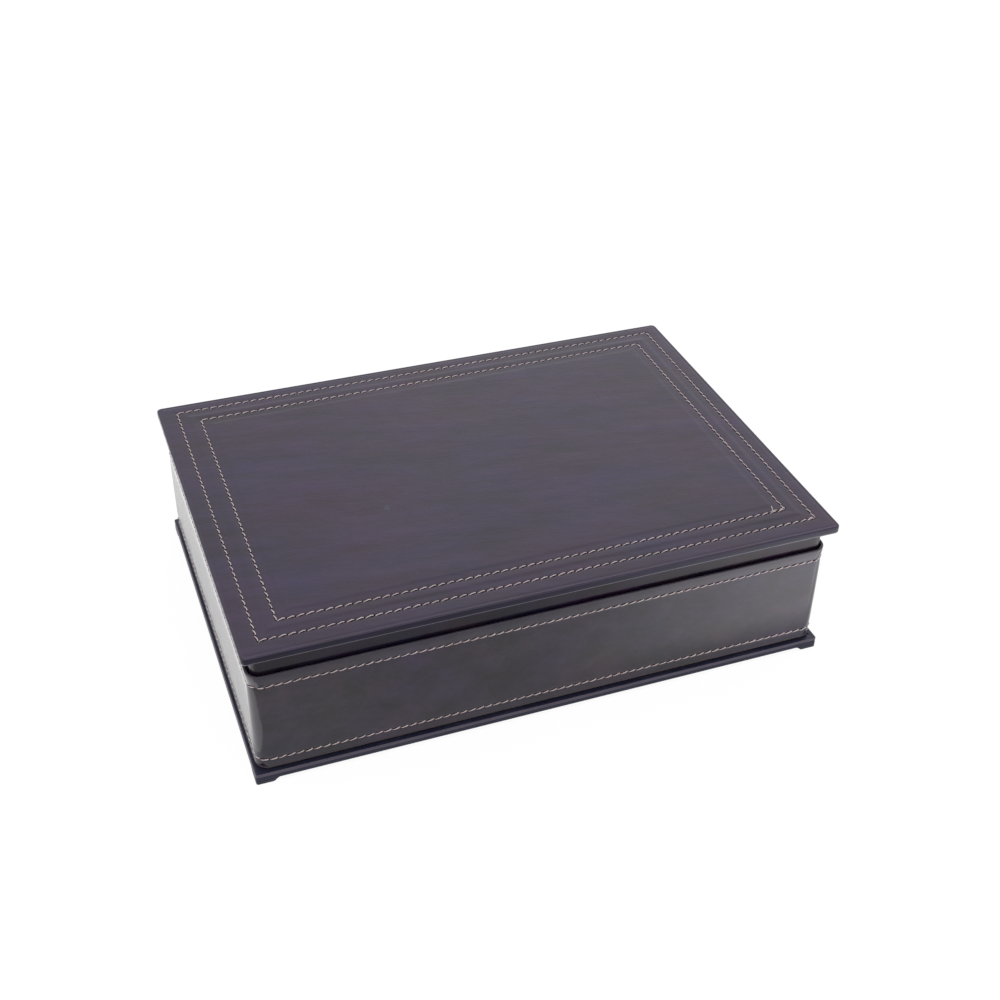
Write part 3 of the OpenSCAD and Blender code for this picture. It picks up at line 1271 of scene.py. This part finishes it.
def dress(piece: bpy.types.Object, body: str, slot: str, *nodes: str) -> bpy.types.Object:
    """Rides a piece on its body and hides the CAD nodes that it stands for.

    Args:
        piece: The finished piece.
        body: CAD body that it moves with.
        slot: Not used.
        *nodes: CAD nodes that it replaces.

    Returns:
        The piece.
    """
    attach(piece, body)
    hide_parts(*nodes)
    log.info("%s: %d faces, stands for %s", piece.name, len(piece.data.polygons), ", ".join(nodes))
    return piece


@dataclass
class LidCover:
    """The lid's leather with its relief and its two seams, round the pad under it."""

    corner: float = 3.0 * MM
    edge: float = 0.8 * MM
    arris: float = 1.3 * MM
    leather: float = 1.0 * MM
    outer_inset: float = 10.5 * MM
    inner_inset: float = 23.0 * MM
    seam_right: float = 0.6 * MM
    seam_back: float = 1.2 * MM
    pitch: float = 5.0 * MM
    stitch: float = 4.7 * MM
    thread: float = 0.6 * MM
    slant: float = 9.0
    centre_rise: float = 0.12 * MM
    band_step: float = 0.2 * MM

    def __post_init__(self) -> None:
        """Reads the lid's size from the frame."""
        low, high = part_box("lid_leather")
        self.outline = loop_round("lid_leather", self.corner)
        self.bottom, self.top = low.z, high.z
        self.board_low, self.board_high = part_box("lid_board")

    def relief(self, inset: float) -> float:
        """Height of the lid's surface against its nominal top.

        Args:
            inset: Distance in from the lid's edge, in metres.

        Returns:
            The height in metres: a roll at the edge, a pressed channel at each seam and a step inside each.
        """
        d = inset / MM
        outer, inner = self.outer_inset / MM, self.inner_inset / MM
        height = self.centre_rise / MM - 2 * self.band_step / MM
        for row in (outer, inner):
            height += self.band_step / MM * smooth_step((d - row - 5.9) / 1.7)
            height -= 0.22 * hump((d - row) / 0.8) + 0.07 * hump((d - row) / 2.6)
        height += 0.05 * hump((d - outer - 8.0) / 1.6)
        height -= 0.15 * hump((d - 2.0) / 0.9)
        return height * MM

    def seam_loop(self, inset: float) -> Loop:
        """The rectangle of a seam at that distance from the lid's edge."""
        return self.outline.inset(inset).moved(self.seam_right, self.seam_back)

    def build(
        self, top: bpy.types.Material, edge: bpy.types.Material, arris_highlight: bpy.types.Material
    ) -> bpy.types.Object:
        """Builds the leather of the lid.

        Args:
            top: Leather of the upper and under sides.
            edge: Inked leather of the edge.
            arris_highlight: Leather of the lower corner of the edge, lightened as a painted highlight.

        Returns:
            The piece.
        """
        skin = Skin(along_l=72, along_w=52, turns=5)
        opening = loop_round("lid_pad", SHARP, CLEAR)
        board = loop_round("lid_board", self.corner - self.leather)
        skin.ring(board.inset(40 * MM), self.board_high.z)
        skin.ring(board, self.board_high.z)
        skin.ring(board, self.board_low.z)
        skin.ring(opening, self.board_low.z)
        skin.ring(opening, self.bottom)
        skin.ring(self.outline.inset(6 * MM), self.bottom)
        # Painted highlight: the lower arris takes the lighter edge colour in slot 2.
        skin.lower_bend(self.outline, self.bottom, self.arris, [2] * 6)
        skin.upper_bend(self.outline, self.top + self.relief(self.edge), self.edge, [1, 1, 0, 0, 0, 0])
        for inset in self._stations():
            share = smooth_step(inset / (4 * MM) - 1.6) if inset < 11 * MM else 1.0
            loop = self.outline.inset(inset).moved(self.seam_right * share, self.seam_back * share)
            skin.ring(loop, self.top + self.relief(inset))
        skin.fill(skin.rings - 1, downward=False)
        skin.fill(0, downward=True)
        piece = skin.build("lid_cover", [top, edge, arris_highlight])
        return dress(piece, LID, "lid_leather", "lid_leather")

    def _stations(self) -> list[float]:
        """Distances from the edge at which the top has a ring, close together where its height changes.

        Returns:
            The distances.
        """
        found: list[float] = []
        d = self.edge / MM + 0.25
        rows = (self.outer_inset / MM, self.inner_inset / MM)
        while d < rows[1] + 9.5:
            found.append(d * MM)
            near = min(abs(d - row) for row in rows)
            step = min(abs(d - row - 5.9) for row in rows)
            d += 0.3 if near < 1.6 else 0.45 if step < 2.4 or d < 4 else 0.9
        return found

    def seam(self, name: str, inset: float, seed: int, extra: Sequence[Path]) -> Seam:
        """One rectangular seam of the lid.

        Args:
            name: Name of the piece.
            inset: Distance from the lid's edge.
            seed: Seed of the stitches' small differences.
            extra: Back-tacked stitches.

        Returns:
            The seam, ready to sew.
        """
        loop = self.seam_loop(inset)
        z = self.top + self.relief(inset) + 0.12 * MM
        x, y = loop.half_l, loop.half_w
        corners = [(-x, -y), (x, -y), (x, y), (-x, y)]
        corners = [(a + loop.shift_x, b + loop.shift_y, z) for a, b in corners]
        sewn = Seam(name, Facing.UP, self.pitch, self.stitch, self.thread, self.slant, seed)
        for start, end in zip(corners, corners[1:] + corners[:1]):
            length = math.dist(start, end)
            sewn.paths.append(Path([start, end], math.floor(length / self.pitch)))
        for path in extra:
            sewn.paths.append(Path([(px, py, z + dz) for px, py, dz in path.points], path.stitches))
        return sewn

    def marks(self) -> tuple[SeamMark, ...]:
        """The two seams as the leather's finish needs them.

        Returns:
            The seams.
        """
        found = []
        for inset in (self.outer_inset, self.inner_inset):
            loop = self.seam_loop(inset)
            length, width = 2 * loop.half_l, 2 * loop.half_w
            found.append(
                SeamMark(
                    loop.half_l,
                    loop.half_w,
                    loop.shift_x,
                    loop.shift_y,
                    length / math.floor(length / self.pitch),
                    width / math.floor(width / self.pitch),
                )
            )
        return tuple(found)


@dataclass
class CaseCover:
    """The band of leather round the walls, with its lip and two seams."""

    corner: float = 7.5 * MM
    leather: float = 1.2 * MM
    lip_drop: float = 7.8 * MM
    foot_rise: float = 6.1 * MM
    pitch: float = 4.83 * MM
    stitch: float = 4.75 * MM
    thread: float = 0.58 * MM
    slant: float = 10.0
    flare: float = 0.35 * MM
    edge: float = 0.55 * MM

    def __post_init__(self) -> None:
        """Reads the band's size from the frame."""
        low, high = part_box("case_leather")
        self.outline = loop_round("case_leather", self.corner)
        self.bottom, self.top = low.z, high.z
        self.rows = (self.top - self.lip_drop, self.bottom + self.foot_rise)
        self.step = self.outline.length() / round(self.outline.length() / self.pitch)

    def swell(self, z: float) -> float:
        """How far the leather stands out from its nominal face at a height.

        Args:
            z: The height.

        Returns:
            The distance.
        """
        high, low = self.rows
        out = self.flare * smooth_step((z - self.top + 4.5 * MM) / (2.5 * MM))
        out -= 0.32 * MM * hump((z - high) / (0.85 * MM)) + 0.22 * MM * hump((z - high) / (3.6 * MM))
        out -= 0.28 * MM * hump((z - low) / (0.85 * MM)) + 0.12 * MM * hump((z - low) / (3.2 * MM))
        middle = (high + low) / 2
        return out + 0.15 * MM * hump((z - middle) / (26 * MM))

    def build(self, leather: bpy.types.Material, ink: bpy.types.Material) -> bpy.types.Object:
        """Builds the band.

        Args:
            leather: Leather of the outside.
            ink: Leather of its cut edges, lightened as painted light so that the lip's top does not fall
                dark.

        Returns:
            The piece.
        """
        skin = Skin(along_l=84, along_w=60, turns=10)
        edge = self.edge
        inner = self.outline.inset(self.leather)
        skin.ring(inner, self.top - edge)
        skin.ring(inner, self.bottom + edge)
        for turn in range(5):
            a = math.pi / 2 * turn / 4
            skin.ring(inner.inset(-edge * (1 - math.cos(a))), self.bottom + edge * (1 - math.sin(a)), 1)
        skin.lower_bend(self.outline.inset(-self.swell(self.bottom)), self.bottom, edge, [1] * 5)
        for z in self._stations():
            skin.ring(self.outline.inset(-self.swell(z)), z)
        out = self.swell(self.top)
        # Slot 1 on the lip and at the foot takes the lightened edge colour, painted light.
        skin.upper_bend(self.outline.inset(-out), self.top, edge, [0, 0, 0, 1, 1, 1])
        for turn in range(4):
            a = math.pi / 2 * turn / 4
            lean = out * 0.6 * (1 - turn / 4)
            skin.ring(inner.inset(-edge * (1 - math.sin(a)) - lean), self.top - edge * (1 - math.cos(a)), 1)
        skin.close_round(0)
        piece = skin.build("case_cover", [leather, ink])
        return dress(piece, CASE, "case_leather", "case_leather")

    def _stations(self) -> list[float]:
        """Heights at which the band has a ring.

        Returns:
            The heights.
        """
        found: list[float] = []
        z = self.bottom + self.edge
        while z < self.top - self.edge - 0.2 * MM:
            found.append(z)
            near = min(abs(z - row) for row in self.rows)
            if near < 1.8 * MM:
                z += 0.35 * MM
            elif near < 7 * MM or z > self.top - 8 * MM:
                z += 0.8 * MM
            else:
                z += 2.4 * MM
        return found

    def seam(self, name: str, row: float, shift: float, seed: int) -> Seam:
        """One seam round the walls.

        Args:
            name: Name of the piece.
            row: Height of the seam.
            shift: How far its first stitch is moved along, to the right on the front.
            seed: Seed of the stitches' small differences.

        Returns:
            The seam, ready to sew.
        """
        loop = self.outline.inset(-self.swell(row) - 0.1 * MM)
        round_walls = [(x, y, row) for x, y in loop.points(40, 30, 12)]
        start = (round_walls[0][0] + shift, round_walls[0][1], row)
        path = [start, *round_walls[1:], round_walls[0], start]
        count = round(self.outline.length() / self.pitch)
        sewn = Seam(
            name, Facing.OUTWARD, self.pitch, self.stitch, self.thread, self.slant, seed, 0.75, hole=0.55 * MM
        )
        sewn.paths.append(Path(path, count))
        return sewn


@dataclass
class CollarCover:
    """The leather round the collar, seen in the gap between the lid and the case."""

    corner: float = 5.5 * MM
    leather: float = 1.0 * MM
    edge: float = 0.7 * MM

    def build(self, leather: bpy.types.Material) -> bpy.types.Object:
        """Builds the collar's leather.

        Args:
            leather: Its material.

        Returns:
            The piece.
        """
        low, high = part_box("collar_leather")
        outline = loop_round("collar_leather", self.corner)
        inner = outline.inset(self.leather)
        skin = Skin(along_l=80, along_w=56, turns=8)
        skin.ring(inner, high.z)
        skin.ring(inner, low.z + 0.15 * MM)
        skin.ring(inner.inset(-0.15 * MM), low.z)
        skin.lower_bend(outline, low.z, self.edge, [0] * 5)
        for share in np.linspace(0.08, 0.94, 14):
            z = low.z + (high.z - low.z) * float(share)
            skin.ring(outline.inset(0.12 * MM * hump((share - 0.5) / 0.35)), z)
        skin.ring(outline, high.z - 0.05 * MM)
        skin.ring(outline.inset(0.05 * MM), high.z)
        skin.close_round()
        piece = skin.build("collar_cover", [leather])
        return dress(piece, LID, "collar_leather", "collar_leather")


@dataclass
class BaseCover:
    """The base's leather, its four feet and the felt between them."""

    corner: float = 1.5 * MM
    edge: float = 0.5 * MM
    groove: float = 0.3 * MM
    leather: float = 0.8 * MM
    foot_flat: float = 9.0 * MM
    foot_curve: float = 3.5 * MM

    def __post_init__(self) -> None:
        """Reads the base's size from the frame."""
        self.low, self.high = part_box("base_leather")
        self.outline = loop_round("base_leather", self.corner)

    def build(self, leather: bpy.types.Material, arris_highlight: bpy.types.Material) -> bpy.types.Object:
        """Builds the leather folded over the base board.

        Args:
            leather: Leather of its faces.
            arris_highlight: Leather of the corners of its edge, lightened as a painted highlight.

        Returns:
            The piece.
        """
        board_low, board_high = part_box("base_board")
        board = loop_round("base_board", self.corner - self.leather)
        below = loop_round("base_felt", SHARP, CLEAR)
        above = Loop(-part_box("left_lining")[0].x, -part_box("front_lining")[0].y, SHARP)
        skin = Skin(along_l=80, along_w=56, turns=5)
        skin.ring(above, board_high.z)
        skin.ring(board, board_high.z)
        skin.ring(board, board_low.z)
        skin.ring(below, board_low.z)
        skin.ring(below, self.low.z)
        # Painted highlight: slot 1 here and at the upper bend gives the base's edges a lighter colour.
        skin.lower_bend(self.outline, self.low.z, self.edge, [1] * 5)
        middle = (self.high.z + self.low.z) / 2
        for step in (-2.0, -1.0, -0.5, 0.0, 0.5, 1.0, 2.0):
            skin.ring(self.outline.inset(self.groove * hump(step)), middle + step * self.groove)
        skin.upper_bend(self.outline, self.high.z, self.edge, [1] * 5)
        skin.ring(self.outline.inset(1.2 * MM), self.high.z)
        skin.ring(above, self.high.z)
        skin.close_round()
        piece = skin.build("base_cover", [leather, arris_highlight])
        return dress(piece, CASE, "base_leather", "base_leather")

    def foot(self, name: str, right: bool, back: bool, leather: bpy.types.Material) -> bpy.types.Object:
        """Builds one corner foot: a flat sole with an ogee up to the base on its inner sides.

        Args:
            name: CAD node that it stands for.
            right: Whether it is a right foot.
            back: Whether it is a back foot.
            leather: Its material.

        Returns:
            The piece.
        """
        _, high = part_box(name)
        soft = 0.3 * MM
        lines = [0.0, 0.1, 0.3, 0.6, 1.0, 1.5, 3.0, 6.0, 8.4]
        lines = [v * MM for v in lines] + [self.foot_flat + self.foot_curve * i / 10 for i in range(11)]

        def sole(d: float) -> float:
            """Height of the sole at a distance in from the corner."""
            rise = min(1.0, max(0.0, (d - self.foot_flat) / self.foot_curve))
            return (high.z - 0.02 * MM) * (1 - math.cos(math.pi * rise)) / 2

        def rounded(x: float, y: float) -> tuple[float, float]:
            """Bends the square outer corner of the grid round.

            Args:
                x: Distance in from one side.
                y: Distance in from the other.

            Returns:
                The two distances on the rounded corner.
            """
            r = self.corner
            if x < r and y < r:
                u, v = 1 - x / r, 1 - y / r
                return r - r * u * math.sqrt(1 - v * v / 2), r - r * v * math.sqrt(1 - u * u / 2)
            return x, y

        n = len(lines)
        points: list[Point] = []
        for level in range(2):
            for x in lines:
                for y in lines:
                    px, py = rounded(x, y)
                    z = max(sole(x), sole(y)) if level == 0 else high.z
                    if level == 0 and min(x, y) < soft:
                        z = max(z, soft - math.sqrt(max(0.0, soft**2 - (soft - min(x, y)) ** 2)))
                    sx, sy = (1 if right else -1), (1 if back else -1)
                    points.append((sx * (self.outline.half_l - px), sy * (self.outline.half_w - py), z))
        faces: list[tuple[int, ...]] = []
        for i in range(n - 1):
            for j in range(n - 1):
                a, b, c, d = i * n + j, (i + 1) * n + j, (i + 1) * n + j + 1, i * n + j + 1
                faces += [(a, b, c, d), tuple(v + n * n for v in (d, c, b, a))]
        rim = [i * n for i in range(n)] + [(n - 1) * n + j for j in range(1, n)]
        rim += [i * n + n - 1 for i in range(n - 2, -1, -1)] + [j for j in range(n - 2, 0, -1)]
        for a, b in zip(rim, rim[1:] + rim[:1]):
            faces.append((b, a, a + n * n, b + n * n))
        if right == back:
            faces = [f[::-1] for f in faces]
        piece = mesh_object(name.replace("foot", "foot_cover"), points, faces)
        piece.data.materials.append(leather)
        piece.data.set_sharp_from_angle(angle=math.radians(40))
        return dress(piece, CASE, "base_leather", name)

    def felt(self, material: bpy.types.Material) -> bpy.types.Object:
        """Builds the felt under the base.

        Args:
            material: Its material.

        Returns:
            The piece.
        """
        low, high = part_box("base_felt")
        piece = soft_block("felt_panel", low, high, 0.3 * MM, (30, 20, 1))
        piece.data.materials.append(material)
        return dress(piece, CASE, "felt", "base_felt")


@dataclass
class Lining:
    """The cloth-covered boards and pads inside the box."""

    roll: float = 0.85 * MM
    crown: float = 0.25 * MM

    def build(self, cloth: bpy.types.Material) -> list[bpy.types.Object]:
        """Builds the four lined boards and the two pads.

        Args:
            cloth: The lining's material.

        Returns:
            The pieces.
        """
        made = []
        for side in Side:
            node = f"{side.name.lower()}_lining"
            low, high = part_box(node)
            spans = (70, 1, 18) if side in (Side.FRONT, Side.BACK) else (1, 50, 18)
            piece = soft_block(f"lined_board_{side.name.lower()}", low, high, self.roll, spans)
            made.append(self._cover(piece, cloth, CASE, node))
        low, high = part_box("floor_pad")
        piece = soft_block("floor_cushion", low, high - Vector((0, 0, self.crown)), self.roll, (60, 42, 1))
        self._crown(piece, 1)
        made.append(self._cover(piece, cloth, CASE, "floor_pad"))
        low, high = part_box("lid_pad")
        piece = soft_block("lid_cushion", low + Vector((0, 0, self.crown)), high, self.roll, (60, 42, 1))
        self._crown(piece, -1)
        made.append(self._cover(piece, cloth, LID, "lid_pad"))
        return made

    def _crown(self, piece: bpy.types.Object, way: int) -> None:
        """Swells the shown face of a pad.

        Args:
            piece: The pad.
            way: 1 for the upper face, -1 for the lower.
        """
        co = np.array([v.co for v in piece.data.vertices])
        low, high = co.min(0), co.max(0)
        middle = (low[2] + high[2]) / 2
        share = np.ones(len(co))
        for a in range(2):
            u = 2 * (co[:, a] - low[a]) / (high[a] - low[a]) - 1
            share *= 1 - u**6
        shown = (co[:, 2] - middle) * way > 0
        co[shown, 2] += way * self.crown * share[shown]
        piece.data.vertices.foreach_set("co", co.ravel())
        piece.data.update()

    @staticmethod
    def _cover(piece: bpy.types.Object, cloth: bpy.types.Material, body: str, node: str) -> bpy.types.Object:
        """Gives a lined piece its cloth and its place on a body."""
        piece.data.materials.append(cloth)
        return dress(piece, body, "lining", node)


# Studio


@dataclass(frozen=True)
class Softbox:
    """A soft studio lamp, which may fade in from one side and from one end."""

    name: str
    place: Point
    aim: Point
    width: float
    height: float
    watts: float
    fade: tuple[float, float] | None = None


@dataclass
class Studio:
    """White sweep, soft lamps, and the camera at the photograph's viewing angle."""

    lens: float = 52.698
    camera_place: Point = (-0.24435, -0.67151, 0.57559)
    camera_right: Point = (0.937896, -0.346569, 0.015508)
    camera_up: Point = (0.189722, 0.54983, 0.813445)
    sky: float = 0.75
    shown_lift: float = 0.86
    shown_white: float = 1.073
    gloss_lift: float = 0.62
    lamps: tuple[Softbox, ...] = (
        Softbox("back_right", (0.9, 1.3, 0.9), (0.0, 0.0, 0.05), 1.3, 1.3, 0.8),
        Softbox("overhead", (-0.3, -0.6, 1.8), (0.0, 0.0, 0.05), 1.0, 1.0, 4.0),
        Softbox("right_bounce", (0.48, -0.574, 0.003), (0.48, -0.574, 1.0), 1.0, 0.9, 4.9, (0.28, 0.03)),
        Softbox("left_bounce", (-0.33, 0.15, 0.003), (-0.33, 0.15, 1.0), 0.3, 0.6, 0.45),
    )

    def build(self) -> None:
        """Builds the floor, the world, the lamps and the camera."""
        self._floor()
        self._world()
        for lamp in self.lamps:
            self._lamp(lamp)
        self._camera()

    def _seen(self, tree: bpy.types.NodeTree, shown: float, gloss: float) -> Socket:
        """A value for rays from the camera, one for rays off or through gloss, and 0 for the rest.

        Args:
            tree: Tree to add to.
            shown: Value for rays from the camera.
            gloss: Value for rays that a mirror or glass sends on.

        Returns:
            The value.
        """
        ray = tree.nodes.new("ShaderNodeLightPath")
        most: Socket | None = None
        levels = {"Is Camera Ray": shown, "Is Glossy Ray": gloss, "Is Transmission Ray": gloss}
        for label, level in levels.items():
            part = tree.nodes.new("ShaderNodeMath")
            part.operation = "MULTIPLY"
            part.inputs[1].default_value = level
            tree.links.new(ray.outputs[label], part.inputs[0])
            if most is None:
                most = part.outputs[0]
                continue
            larger = tree.nodes.new("ShaderNodeMath")
            larger.operation = "MAXIMUM"
            tree.links.new(most, larger.inputs[0])
            tree.links.new(part.outputs[0], larger.inputs[1])
            most = larger.outputs[0]
        return most

    def _floor(self) -> None:
        """A white floor that keeps a trace of the object's shadow."""
        size = 30.0
        floor = mesh_object(
            "sweep", [(-size, -size, 0), (size, -size, 0), (size, size, 0), (-size, size, 0)], [(0, 1, 2, 3)]
        )
        g = Graph("white_sweep")
        paper = g.add("ShaderNodeBsdfDiffuse", {"Color": tone(244, 244, 244)}).outputs[0]
        seen = g.add("ShaderNodeLightPath").outputs["Is Camera Ray"]
        strength = g.math("MULTIPLY_ADD", seen, self.shown_white - 1.0, 1.0)
        glow = g.add("ShaderNodeEmission", {"Color": (1, 1, 1, 1), "Strength": strength}).outputs[0]
        share = self._seen(g.tree, self.shown_lift, self.gloss_lift)
        mixed = g.add("ShaderNodeMixShader", {0: share, 1: paper, 2: glow}).outputs[0]
        g.tree.links.new(mixed, g.output.inputs["Surface"])
        floor.data.materials.append(g.material)

    def _world(self) -> None:
        """White where it is seen, and a softer white where it lights."""
        world = bpy.data.worlds.new("white_room")
        bpy.context.scene.world = world
        world.use_nodes = True
        tree = world.node_tree
        tree.nodes.clear()
        seen = self._seen(tree, 1.0, 1.0)
        level = tree.nodes.new("ShaderNodeMapRange")
        level.inputs["To Min"].default_value = self.sky
        level.inputs["To Max"].default_value = 1.0
        tree.links.new(seen, level.inputs["Value"])
        light = tree.nodes.new("ShaderNodeBackground")
        light.inputs["Color"].default_value = (1.0, 1.0, 1.0, 1.0)
        tree.links.new(level.outputs["Result"], light.inputs["Strength"])
        out = tree.nodes.new("ShaderNodeOutputWorld")
        tree.links.new(light.outputs[0], out.inputs["Surface"])

    @staticmethod
    def _lamp(lamp: Softbox) -> None:
        """Hangs a softbox, turned towards its aim.

        Args:
            lamp: The softbox.
        """
        data = bpy.data.lights.new(lamp.name, "AREA")
        data.shape = "RECTANGLE"
        data.size, data.size_y = lamp.width, lamp.height
        data.energy = lamp.watts
        if lamp.fade is not None:
            data.use_nodes = True
            tree = data.node_tree
            glow = next(node for node in tree.nodes if node.type == "EMISSION")
            across = tree.nodes.new("ShaderNodeSeparateXYZ")
            tree.links.new(tree.nodes.new("ShaderNodeNewGeometry").outputs["Parametric"], across.inputs[0])
            level: Socket | None = None
            for axis, reach in enumerate(lamp.fade):
                ramp = tree.nodes.new("ShaderNodeMapRange")
                ramp.interpolation_type = "SMOOTHSTEP"
                ramp.inputs["From Min"].default_value = 1.0
                ramp.inputs["From Max"].default_value = 1.0 - reach
                tree.links.new(across.outputs[axis], ramp.inputs["Value"])
                if level is not None:
                    both = tree.nodes.new("ShaderNodeMath")
                    both.operation = "MULTIPLY"
                    tree.links.new(level, both.inputs[0])
                    tree.links.new(ramp.outputs["Result"], both.inputs[1])
                    level = both.outputs[0]
                else:
                    level = ramp.outputs["Result"]
            tree.links.new(level, glow.inputs["Strength"])
        made = bpy.data.objects.new(lamp.name, data)
        bpy.context.scene.collection.objects.link(made)
        made.location = lamp.place
        made.visible_camera = False
        aim = Vector(lamp.aim) - Vector(lamp.place)
        made.rotation_euler = aim.to_track_quat("-Z", "Y").to_euler()

    def _camera(self) -> None:
        """Sets the camera from the fitted place and directions."""
        data = bpy.data.cameras.new("camera")
        data.lens, data.sensor_width = self.lens, 36.0
        data.clip_start, data.clip_end = 0.05, 100.0
        made = bpy.data.objects.new("camera", data)
        bpy.context.scene.collection.objects.link(made)
        right, up = Vector(self.camera_right).normalized(), Vector(self.camera_up).normalized()
        back = right.cross(up).normalized()
        up = back.cross(right)
        turn = Matrix((right, up, back)).transposed().to_4x4()
        made.matrix_world = Matrix.Translation(self.camera_place) @ turn
        bpy.context.scene.camera = made


# The whole box


COLLAR_RAILS = tuple(f"collar_{side.name.lower()}" for side in Side)


def finish_boards() -> None:
    """Gives the CAD boards that stay in the scene their fibreboard finish, with painted shade along the wall
    boards' tops.
    """
    _, wall_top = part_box("front_wall")
    core = FibreboardFinish("fibreboard", (150, 122, 90), (104, 80, 56)).material()
    # Wall board tops painted black as the shade in the gap between the lip and the collar.
    wall = FibreboardFinish("wall_board", (150, 122, 90), (104, 80, 56), wall_top.z - 1 * MM).material()
    for name, node in frame["nodes"].items():
        if name.endswith("_wall"):
            board = wall
        elif name.endswith("_board") or name in COLLAR_RAILS:
            board = core
        else:
            continue
        node.data.materials.clear()
        node.data.materials.append(board)
        log.info("%s: CAD node, %s", name, board.name)


def main() -> None:
    """Builds the box's pieces in order and sets up the studio."""
    logging.basicConfig(level=logging.INFO, format="%(name)s: %(message)s")
    bpy.context.scene.view_settings.view_transform = "Standard"
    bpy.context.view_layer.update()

    lid = LidCover()
    case = CaseCover()
    lid_leather = LeatherFinish(
        "lid_hide",
        (42, 28, 57),
        drift=0.26,
        grain=0.85,
        relief=0.8,
        wax=(1.0, 0.95, 0.99),
        seams=lid.marks(),
        marks=True,
    ).material()
    case_leather = LeatherFinish(
        "case_hide",
        (39, 30, 46),
        drift=0.3,
        draw=(0.7, 0.7, 1.0),
        turn=0.0,
        grain=1.1,
        roughness=0.11,
        relief=0.2,
        sheen=0.4,
    ).material()
    collar_leather = LeatherFinish(
        "collar_hide",
        (30, 20, 36),
        draw=(0.5, 0.5, 1.0),
        turn=0.0,
        grain=0.8,
        roughness=0.2,
        specular=0.29,
        relief=0.3,
    ).material()
    edge_ink = EdgeInkFinish("edge_ink", (12, 8, 30), (20, 16, 42), roughness=0.3, specular=0.29).material()
    # Lighter leather on the arrises, a painted highlight beside their real gloss.
    arris_highlight = EdgeInkFinish(
        "arris_painted_highlight", (58, 50, 68), (70, 62, 80), roughness=0.26, specular=0.7
    ).material()
    # Cut edges of the case's leather lightened as painted light, where the lip's top would reflect the lid's
    # dark underside.
    lip_edge_lightened = EdgeInkFinish("lip_edge_lightened", (66, 61, 74), (82, 76, 90), specular=0.35).material()
    base_hide = EdgeInkFinish(
        "base_hide", (32, 34, 56), (43, 44, 64), roughness=0.3, specular=0.38
    ).material()
    thread = ThreadFinish("waxed_thread", (246, 230, 228), (196, 176, 178)).material()
    # Needle holes: near black, painted as the shade inside them.
    hole = HoleShadeFinish("needle_hole", (4, 3, 5)).material()

    lid.build(lid_leather, edge_ink, arris_highlight)
    case.build(case_leather, lip_edge_lightened)
    CollarCover().build(collar_leather)
    base = BaseCover()
    base.build(base_hide, arris_highlight)
    for name in ("foot_front_left", "foot_front_right", "foot_back_left", "foot_back_right"):
        base.foot(name, "right" in name, "back" in name, base_hide)
    base.felt(SuedeFinish("felt", (32, 30, 36), (44, 42, 48), sheen=0.2).material())
    Lining().build(SuedeFinish("lining_suede", (66, 58, 56), (88, 78, 74)).material())
    finish_boards()

    tree = StitchTree()
    tack = 0.16 * MM
    inner_tack = [
        Path([(0.1385, -0.0978, tack), (0.1435, -0.0984, tack)], 1),
        Path([(0.1439, -0.0984, tack), (0.1488, -0.0976, tack)], 1),
        Path([(0.1402, -0.0972, tack), (0.1424, -0.0938, 0.5 * tack)], 1),
    ]
    outer_tack = [Path([(0.1545, -0.1114, tack), (0.1596, -0.1106, tack)], 1)]
    seams = (
        (lid.seam("lid_seam_outer", lid.outer_inset, 11, outer_tack), LID, "lid_stitching_outer"),
        (lid.seam("lid_seam_inner", lid.inner_inset, 12, inner_tack), LID, "lid_stitching_inner"),
        (case.seam("case_seam_top", case.rows[0], 0.6 * MM, 13), CASE, "case_stitching_top"),
        (case.seam("case_seam_bottom", case.rows[1], 3.9 * MM, 14), CASE, "case_stitching_bottom"),
    )
    for seam, body, node in seams:
        dress(seam.build(tree, thread, hole), body, "thread", node)

    Studio().build()


if __name__ == "__main__":
    main()
